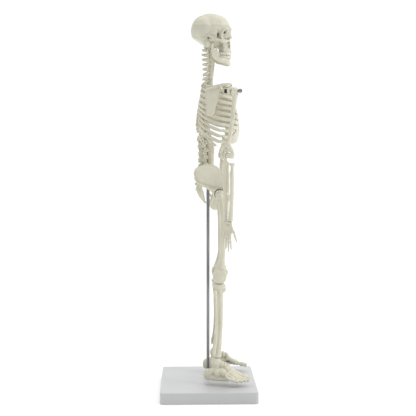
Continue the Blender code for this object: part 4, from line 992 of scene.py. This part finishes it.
def make_hand(side):
    """Eight wrist bones, then four fingers and a thumb, each bone with its own ends."""
    top = WRIST_UP
    pieces = []
    for axial, back, drop, size in ((-3.0, 0.2, 2.0, 1.9), (-0.6, 0.0, 1.8, 2.0), (2.0, -0.2, 1.8, 2.2),
                                    (4.4, -0.3, 2.3, 2.3), (-2.8, 0.2, 5.2, 1.9), (-0.4, 0.1, 5.4, 2.1),
                                    (2.0, 0.0, 5.6, 1.9), (4.2, -0.4, 5.6, 1.9)):
        half = (size * 0.92, size * 0.92, size)
        pieces.append(ball(elbow_row(axial, back, top - drop), half, side, rings=14))
    fingers = [(-3.2, -5.6, 182.4, 1.0), (-1.0, -2.0, 176.4, 1.08),
               (1.3, 1.4, 173.2, 1.12), (3.6, 4.8, 175.6, 1.08)]
    for start, end, tip, size in fingers:
        knuckle = top - 4.4 - (top - 4.4 - tip) * 0.46
        reach = knuckle - tip
        joints = [
            elbow_row(start * 0.8 + 0.4, 0.1, top - 6.4),
            elbow_row(start + (end - start) * 0.5, 0.2, knuckle),
            elbow_row(start + (end - start) * 0.72, -0.3, knuckle - reach * 0.44),
            elbow_row(start + (end - start) * 0.88, -0.8, knuckle - reach * 0.74),
            elbow_row(end, -1.3, tip + 0.3),
        ]
        sizes = [(1.6, 1.1, 1.6), (1.4, 1.0, 1.25), (1.2, 0.88, 1.05), (1.0, 0.75, 0.8)]
        for near, far, radii in zip(joints, joints[1:], sizes):
            pieces.append(tube(shaft_rows(near, far, [radius * size for radius in radii]), side, steps=3))
    joints = [elbow_row(4.4, -0.8, top - 5.4), elbow_row(7.6, -1.7, top - 12.4),
              elbow_row(9.8, -2.4, top - 18.8), elbow_row(11.2, -2.8, top - 23.9)]
    sizes = [(1.9, 1.3, 1.6), (1.6, 1.15, 1.35), (1.3, 1.0, 1.0)]
    for near, far, radii in zip(joints, joints[1:], sizes):
        pieces.append(tube(shaft_rows(near, far, radii), side, steps=3))
    web = plate([[elbow_row(-3.0, 0.1, top - 7.0)[:3], elbow_row(-3.6, 0.1, top - 12.0)[:3]],
                 [elbow_row(3.4, 0.0, top - 7.0)[:3], elbow_row(3.8, 0.1, top - 12.0)[:3]]], 0.7, side)
    pieces.append(web)
    show(f"hand_{SIDE_NAMES[side]}", moulded(pieces, 0.27, [above(top - GAP / 2)], relax=2, swell=0.05))
    keep_node(f"elbow_pin_{SIDE_NAMES[side]}")


for side in SIDES:
    make_shoulder(side)
    make_humerus(side)
    make_forearm(side)
    make_hand(side)


# ---- hips and legs ----
def knee_bar(low, high, radius, side, sides=48):
    start = at((low, KNEE[1], KNEE[2]), side)
    return round_bar(start, at((high, KNEE[1], KNEE[2]), side), radius, sides=sides)


def make_hip_bone(side):
    name = SIDE_NAMES[side]
    crest = [(9.6, -15.6, 260.1), (11.2, -15.0, 264.0), (13.8, -13.2, 266.9), (21.0, -6.0, 270.7),
             (28.6, 3.0, 270.9), (32.4, 8.0, 269.4), (34.4, 11.8, 266.5), (35.6, 16.6, 259.5)]
    middle = [(10.4, -13.8, 256.4), (12.2, -11.0, 257.0), (14.4, -8.4, 257.4), (19.4, -1.8, 258.4),
              (24.8, 4.8, 259.0), (28.0, 9.4, 258.6), (30.6, 13.0, 257.4), (33.2, 17.0, 254.4)]
    root = [(10.4, -12.8, 252.0), (12.0, -9.6, 251.2), (13.6, -6.6, 249.6), (18.0, 1.4, 246.8),
            (21.8, 7.2, 245.8), (24.4, 11.0, 245.6), (27.0, 14.0, 246.6), (29.8, 17.2, 249.2)]
    rim = (1.7, 1.6, 1.6, 1.75, 2.1, 1.9, 1.7, 1.7)
    pieces = [
        plate([crest, middle, root], 2.0, side),
        tube([(*point, size) for point, size in zip(crest, rim)], side),
        tube([(9.8, -14.4, 260.0, 1.8), (9.9, -14.2, 256.4, 2.0), (10.4, -12.6, 252.6, 1.9),
              (13.0, -7.6, 249.6, 2.0), (18.0, 1.4, 245.6, 3.2), (21.0, 7.0, 242.2, 4.2)], side),
        tube([(35.5, 16.8, 259.3, 1.7), (33.2, 17.6, 255.2, 1.3), (31.0, 17.6, 251.6, 1.7),
              (27.4, 16.4, 247.0, 2.6)], side),
        ball((21.4, 13.0, 239.4), (7.0, 8.4, 8.2), side, rings=30),
        tube([(24.6, 20.6, 239.6, 1.2), (25.0, 18.4, 245.0, 1.4), (25.4, 13.4, 247.2, 1.5),
              (25.2, 8.0, 245.2, 1.4), (24.6, 5.0, 240.0, 1.3)], side),
        tube([(20.0, 8.8, 234.2, 4.2), (18.4, 6.4, 229.8, 3.4), (16.6, 5.0, 226.0, 3.5),
              (15.6, 5.4, 222.9, 3.1), (12.6, 9.0, 220.8, 2.2), (9.6, 13.2, 220.9, 1.7),
              (6.0, 17.8, 222.8, 1.6), (3.4, 21.0, 226.2, 2.0)], side),
        tube([(16.0, 3.2, 236.6, 1.6), (14.6, 1.2, 234.2, 1.0)], side, steps=3),
        tube([(19.4, 16.4, 240.2, 3.0), (14.4, 20.2, 239.6, 1.9), (9.0, 23.0, 237.2, 1.7),
              (5.0, 24.3, 234.8, 2.2), (2.6, 23.8, 231.2, 2.6), (2.8, 22.2, 226.8, 2.0)], side),
    ]
    socket = ball(HIP, (6.2, 6.2, 6.2), side, rings=30)
    mouth = round_bar(at((HIP[0] + 0.7, *HIP[1:]), side), at((40, *HIP[1:]), side), 6.0, 9.6, sides=64)
    pin_hole = round_bar(at((10, *HIP[1:]), side), at((26, *HIP[1:]), side), SCREW_HOLE)
    cuts = [socket, mouth, inside(GAP / 2, side), pin_hole]
    show(f"hip_bone_{name}", moulded(pieces, 0.42, cuts, relax=3, swell=0.12))
    keep_node(f"hip_pin_{name}")


def make_femur(side):
    out, forward, up = KNEE
    pieces = [
        ball(HIP, (5.55, 5.55, 5.55), side, rings=30),
        tube([(26.0, 13.0, 237.8, 3.5), (29.0, 13.0, 236.5, 3.0), (32.0, 13.0, 235.0, 3.3),
              (35.0, 13.2, 232.6, 4.2)], side),
        ball((36.0, 11.8, 235.0), (3.1, 4.1, 4.4), side),
        ball((35.6, 12.6, 230.4), (3.0, 4.2, 4.0), side),
        tube([(33.0, 9.6, 234.0, 1.5), (31.6, 9.4, 228.0, 1.4), (30.8, 10.2, 222.6, 1.7)], side),
        ball((30.6, 10.4, 222.2), (2.2, 2.0, 2.6), side),
        tube([(34.6, 13.2, 232.2, 4.0), (34.2, 14.2, 226.0, 3.7), (33.2, 15.4, 218.0, 3.4),
              (31.8, 16.2, 207.0, 3.2), (30.2, 16.6, 195.1, 3.15), (28.2, 16.7, 182.0, 3.2),
              (26.2, 16.4, 169.0, 3.4), (24.4, 15.6, 161.0, 3.9), (22.8, 14.6, 153.9, 4.9),
              (21.6, 13.2, 147.0, 6.2)], side),
        tube([(31.6, 13.0, 214.0, 0.8), (30.2, 13.6, 200.0, 0.95), (28.6, 13.6, 184.0, 0.95),
              (27.0, 13.4, 170.0, 0.8)], side),
    ]
    size = 8.2
    for shift in (-4.9, 4.9):
        for reach, less_round in ((3.0, 0.55), (2.0, 0.08)):
            pieces.append(knee_bar(out + shift - reach, out + shift + reach, size - less_round, side))
        half = (4.2, size - 0.35, size - 0.35)
        pieces.append(ball((out + shift * 1.08, forward, up), half, side, rings=26))
    pieces += [
        ball((out - 7.4, forward - 1.0, up + 3.6), (1.9, 3.6, 3.0), side),
        ball((out + 7.4, forward - 1.0, up + 3.6), (1.9, 3.6, 3.0), side),
        ball((out, forward + 7.2, up + 4.4), (4.3, 2.9, 4.9), side, rings=22),
        ball((out, forward + 5.0, up + 4.6), (5.4, 3.4, 4.2), side, rings=22),
        tube([(out - 4.6, forward + 5.6, up + 6.6, 1.2), (out, forward + 4.6, up + 10.6, 1.4),
              (out + 4.6, forward + 5.6, up + 6.6, 1.2)], side),
    ]
    pin_hole = round_bar(at((15, *HIP[1:]), side), at((28.4, *HIP[1:]), side), SCREW_HOLE)
    slot = block((out, forward + 3.4 - 15, up + 3.4 - 15), (4.4, 30, 30), side)
    ring = knee_bar(out - 2.2, out + 2.2, 5.15, side)
    back = ball((out, forward - 8.4, up + 8.0), (3.0, 2.6, 5.0), side)
    cuts = [pin_hole, slot, ring, knee_bar(out - 8.3, out + 8.3, PIN_HOLE, side, 24), back]
    show(f"femur_{SIDE_NAMES[side]}", moulded(pieces, 0.45, cuts, relax=3, swell=0.12))
    keep_node(f"knee_pin_{SIDE_NAMES[side]}")


def make_shin(side):
    name = SIDE_NAMES[side]
    out, forward, up = KNEE
    tongue = [block((out, forward, up - 6.5), (3.4, 5.8, 13.0), side),
              knee_bar(out - 1.7, out + 1.7, 4.5, side)]
    pieces = [
        ball((out, forward - 0.6, 130.2), (8.9, 8.1, 3.6), side, rings=28),
        ball((out - 4.2, forward - 1.0, 130.0), (4.4, 6.8, 4.4), side, rings=20),
        ball((out + 4.2, forward - 1.0, 130.0), (4.4, 6.8, 4.4), side, rings=20),
        ball((out, forward + 4.8, 126.4), (3.2, 2.9, 4.4), side),
        tube([(21.6, 12.6, 129.0, 6.2), (21.6, 12.8, 124.6, 4.9), (21.8, 13.4, 118.4, 4.0),
              (22.3, 13.9, 108.0, 3.5), (22.8, 14.0, 97.1, 3.35), (23.8, 13.6, 82.0, 3.2),
              (24.8, 13.0, 67.6, 3.2), (25.7, 11.9, 58.0, 3.7), (26.3, 11.0, 51.6, 4.4),
              (26.4, 10.6, 44.0, 4.7)], side),
        tube([(21.7, 16.2, 124.0, 1.1), (22.2, 16.7, 112.0, 1.1), (23.0, 16.3, 97.0, 1.0),
              (24.2, 15.4, 80.0, 0.9)], side),
        ball((22.8, 10.2, 48.4), (1.8, 2.6, 3.2), side),
    ]
    room = knee_bar(out - 14, out + 14, KNEE_REACH + 0.4, side)
    ankle_hole = round_bar(at((26.4, 10.4, 30), side), at((26.4, 10.4, 55.4), side), ANKLE_HOLE)
    pin_hole = knee_bar(out - 12, out + 12, PIN_HOLE, side, 24)
    shaft = moulded(pieces, 0.45, [room], relax=3, swell=0.12)
    cuts = [pin_hole, below(ANKLE_UP + GAP / 2), ankle_hole]
    show(f"tibia_{name}", moulded([shaft] + tongue, 0.36, cuts, relax=2))

    rows = [(30.4, 7.8, 125.9, 1.4), (30.6, 7.8, 124.6, 2.1), (30.6, 7.9, 121.0, 1.9),
            (30.1, 8.4, 114.0, 1.35), (29.8, 8.7, 104.0, 1.3), (30.2, 9.0, 87.0, 1.35),
            (31.0, 8.5, 70.0, 1.4), (31.9, 7.4, 60.0, 1.7), (32.4, 6.6, 55.0, 2.05),
            (32.7, 6.2, 50.4, 1.9), (32.6, 6.2, 48.6, 1.2)]
    show(f"fibula_{name}", moulded([tube(rows, side)], 0.3, relax=2, swell=0.1))
    keep_node(f"ankle_pin_{name}")


def foot_row(along, aside, up, *size):
    """(out, forward, up) from the heel: along the turned-out foot and to its outer side."""
    turn_out, turn_forward = math.sin(FOOT_TURN), math.cos(FOOT_TURN)
    return (23.4 + along * turn_out + aside * turn_forward,
            -5.0 + along * turn_forward - aside * turn_out, up, *size)


def make_foot(side):
    """Heel, ankle and middle bones, then five rays with a joint at every toe."""
    pieces = [
        ball(foot_row(5.0, 0.4, 25.6), (4.0, 5.8, 7.1), side, rings=24),
        foot_tube([(6.0, 0.4, 25.4, 4.5), (13.0, 0.2, 31.0, 4.5), (19.0, 0, 33.5, 4.8)], side),
        ball(foot_row(14.6, -0.2, 39.6), (4.7, 6.0, 7.2), side, rings=24),
        ball(foot_row(20.8, -1.6, 37.4), (3.9, 3.4, 4.6), side, rings=18),
        ball(foot_row(24.8, -2.4, 35.8), (4.6, 2.6, 4.9), side, rings=18),
        ball(foot_row(28.6, -3.8, 34.9), (2.5, 2.7, 3.9), side, rings=16),
        ball(foot_row(28.8, -0.6, 35.3), (2.1, 2.7, 3.5), side, rings=16),
        ball(foot_row(28.2, 2.2, 33.4), (2.2, 2.9, 3.5), side, rings=16),
        ball(foot_row(24.0, 4.8, 29.6), (3.4, 4.0, 4.6), side, rings=18),
        ball(foot_row(17.6, 3.9, 28.4), (3.5, 4.6, 5.2), side, rings=18),
        foot_tube([(4.6, 0.6, 22.4, 3.8), (16.0, 2.4, 22.4, 3.6), (30.0, 2.2, 22.6, 3.8)], side),
        ball(foot_row(22.0, 0.0, 30.0), (5.6, 8.0, 5.0), side, rings=18),
    ]
    toes = [(-4.4, -5.6, 54.6, 3.3, 34.0), (-2.2, -1.8, 54.0, 2.2, 33.4), (0.0, 1.8, 51.6, 2.1, 31.4),
            (2.4, 5.2, 48.0, 2.0, 29.0), (4.6, 8.2, 43.6, 2.0, 26.4)]
    for start, end, tip, thick, rise in toes:
        knuckle = tip - 13.4
        joints = [foot_row(27.6, start, rise - 0.4),
                  foot_row(knuckle, end, SOLE_UP + thick + 3.6),
                  foot_row(tip - 5.6, end, SOLE_UP + thick + 1.5),
                  foot_row(tip - 0.4, end, SOLE_UP + thick + 0.2)]
        sizes = [(thick + 0.7, thick * 0.82, thick + 0.6), (thick * 1.0, thick * 0.72, thick * 0.98),
                 (thick * 0.86, thick * 0.7, thick * 0.92)]
        for near, far, radii in zip(joints, joints[1:], sizes):
            pieces.append(tube(shaft_rows(near, far, radii), side, steps=3))
    pieces.append(plate([[foot_row(26.0, -3.4, 27.0)[:3], foot_row(37.0, -4.2, 24.4)[:3]],
                         [foot_row(26.0, 4.6, 24.6)[:3], foot_row(34.0, 6.0, 22.8)[:3]]], 2.4, side))
    pin_hole = round_bar(at((26.4, 10.4, 35.4), side), at((26.4, 10.4, 61.5), side), ANKLE_HOLE)
    cuts = [above(ANKLE_UP - GAP / 2), below(SOLE_UP), pin_hole]
    show(f"foot_{SIDE_NAMES[side]}", moulded(pieces, 0.38, cuts, relax=2, swell=0.1))


for side in SIDES:
    make_hip_bone(side)
    make_femur(side)
    make_shin(side)
    make_foot(side)


# ---- stand ----
def stacked_rings(rings):
    """Closed shape through rings of world places that all have the same count."""
    shape = bmesh.new()
    rows = [[shape.verts.new(place) for place in ring] for ring in rings]
    for low, high in zip(rows, rows[1:]):
        for number, vertex in enumerate(low):
            after = (number + 1) % len(low)
            shape.faces.new((vertex, low[after], high[after], high[number]))
    shape.faces.new(rows[0])
    shape.faces.new(rows[-1])
    bmesh.ops.recalc_face_normals(shape, faces=shape.faces)
    return new_mesh(shape)


def upright_bar(low, high, radius, edge=0.0, sides=64):
    """Round bar on the rod's line, with its edges cut back by edge."""
    profile = [(low, radius - edge), (low + edge, radius), (high - edge, radius), (high, radius - edge)]
    if not edge:
        profile = [(low, radius), (high, radius)]
    angles = [math.tau * number / sides for number in range(sides)]
    return stacked_rings([
        [at((size * math.cos(angle), size * math.sin(angle), up)) for angle in angles]
        for up, size in profile
    ])


def base_block():
    """Rectangular block with rounded corners and a rounded top edge."""
    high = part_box("base")[1] / MM
    turns, corner_steps = 10, 14
    levels = [(0.25, 0.0), (0.0, 0.25)]
    for step in range(turns + 1):
        angle = math.pi / 2 * step / turns
        levels.append((BASE_EDGE * (1 - math.cos(angle)), high.z - BASE_EDGE * (1 - math.sin(angle))))
    corners = [(1, 1), (-1, 1), (-1, -1), (1, -1)]
    rings = []
    for inset, up in levels:
        ring = []
        for number, (out, forward) in enumerate(corners):
            for step in range(corner_steps + 1):
                angle = math.pi / 2 * (number + step / corner_steps)
                bend = BASE_CORNER - inset
                ring.append(at((out * (high.x - BASE_CORNER) + bend * math.cos(angle),
                                forward * (high.y - BASE_CORNER) + bend * math.sin(angle), up)))
        rings.append(ring)
    return stacked_rings(rings)


def make_stand():
    pocket_top = high_edge("rod_washer") + GAP
    room = ROD_RADIUS + GAP
    base = less(base_block(), [upright_bar(-5, 40, room), upright_bar(-5, pocket_top, NUT_POCKET)])
    show("base", base, crisp=True)
    show("support_rod", upright_bar(low_edge("support_rod"), ROD_TOP, ROD_RADIUS, 0.3), crisp=True)
    for name, sides in (("rod_nut", 6), ("rod_washer", 64)):
        width = max(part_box(name)[1].x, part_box(name)[1].y) / MM
        stock = upright_bar(low_edge(name), high_edge(name), width, 0.2, sides)
        show(name, less(stock, [upright_bar(-5, 40, room)]), crisp=True)


make_stand()
for name in ("cap_peg_front", "cap_peg_rear", "jaw_pin_right", "jaw_pin_left"):
    keep_node(name)


# ---- floor, light and camera ----
def flat_sheet(name, corners, colour):
    mesh = bpy.data.meshes.new(name)
    mesh.from_pydata(corners, [], [(0, 1, 2, 3)])
    sheet = put_in_scene(name, mesh)
    material = bpy.data.materials.new(name)
    material.use_nodes = True
    shader = material.node_tree.nodes["Principled BSDF"]
    shader.inputs["Base Color"].default_value = (*grey(colour), 1.0)
    shader.inputs["Roughness"].default_value = 0.9
    shader.inputs["Specular IOR Level"].default_value = 0.0
    mesh.materials.append(material)


def lamp(name, place, target, size, power):
    """Square soft light that faces its target."""
    light = bpy.data.lights.new(name, "AREA")
    light.size = size
    light.energy = power
    thing = put_in_scene(name, light)
    thing.location = place
    thing.rotation_euler = (Vector(target) - Vector(place)).to_track_quat("-Z", "Y").to_euler()


FLOOR_REACH = 6.0
flat_sheet("floor", [(-FLOOR_REACH, -FLOOR_REACH, 0), (FLOOR_REACH, -FLOOR_REACH, 0),
                     (FLOOR_REACH, FLOOR_REACH, 0), (-FLOOR_REACH, FLOOR_REACH, 0)], 0.98)

world = bpy.data.worlds.new("studio")
world.use_nodes = True
tree = world.node_tree
direction = tree.nodes.new("ShaderNodeTexCoord").outputs["Generated"]
split = tree.nodes.new("ShaderNodeSeparateXYZ")
tree.links.new(direction, split.inputs["Vector"])
along = tree.nodes.new("ShaderNodeMapRange")
along.inputs["From Min"].default_value = -1.0
along.inputs["From Max"].default_value = 0.2
along.inputs["To Min"].default_value = 0.42
along.inputs["To Max"].default_value = 1.05
tree.links.new(split.outputs["X"], along.inputs["Value"])
tree.links.new(along.outputs["Result"], tree.nodes["Background"].inputs["Strength"])
tree.nodes["Background"].inputs["Color"].default_value = (1.0, 1.0, 1.0, 1.0)
bpy.context.scene.world = world

lamp("key", (-0.5, -1.3, 1.2), (0, 0, 0.2), 0.6, 8.0)
sky = bpy.data.lights.new("sky", "SUN")
sky.angle = math.radians(80.0)
sky.energy = 1.0
put_in_scene("sky", sky)

camera = put_in_scene("camera", bpy.data.cameras.new("camera"))
camera.data.lens = 72.6
camera.data.sensor_width = 36.0
camera.location = (-1.0, 0.026, 0.2855)
camera.rotation_euler = (Vector((0, 0, 0.2205)) - camera.location).to_track_quat("-Z", "Y").to_euler()
bpy.context.scene.camera = camera
bpy.context.scene.view_settings.view_transform = "Standard"
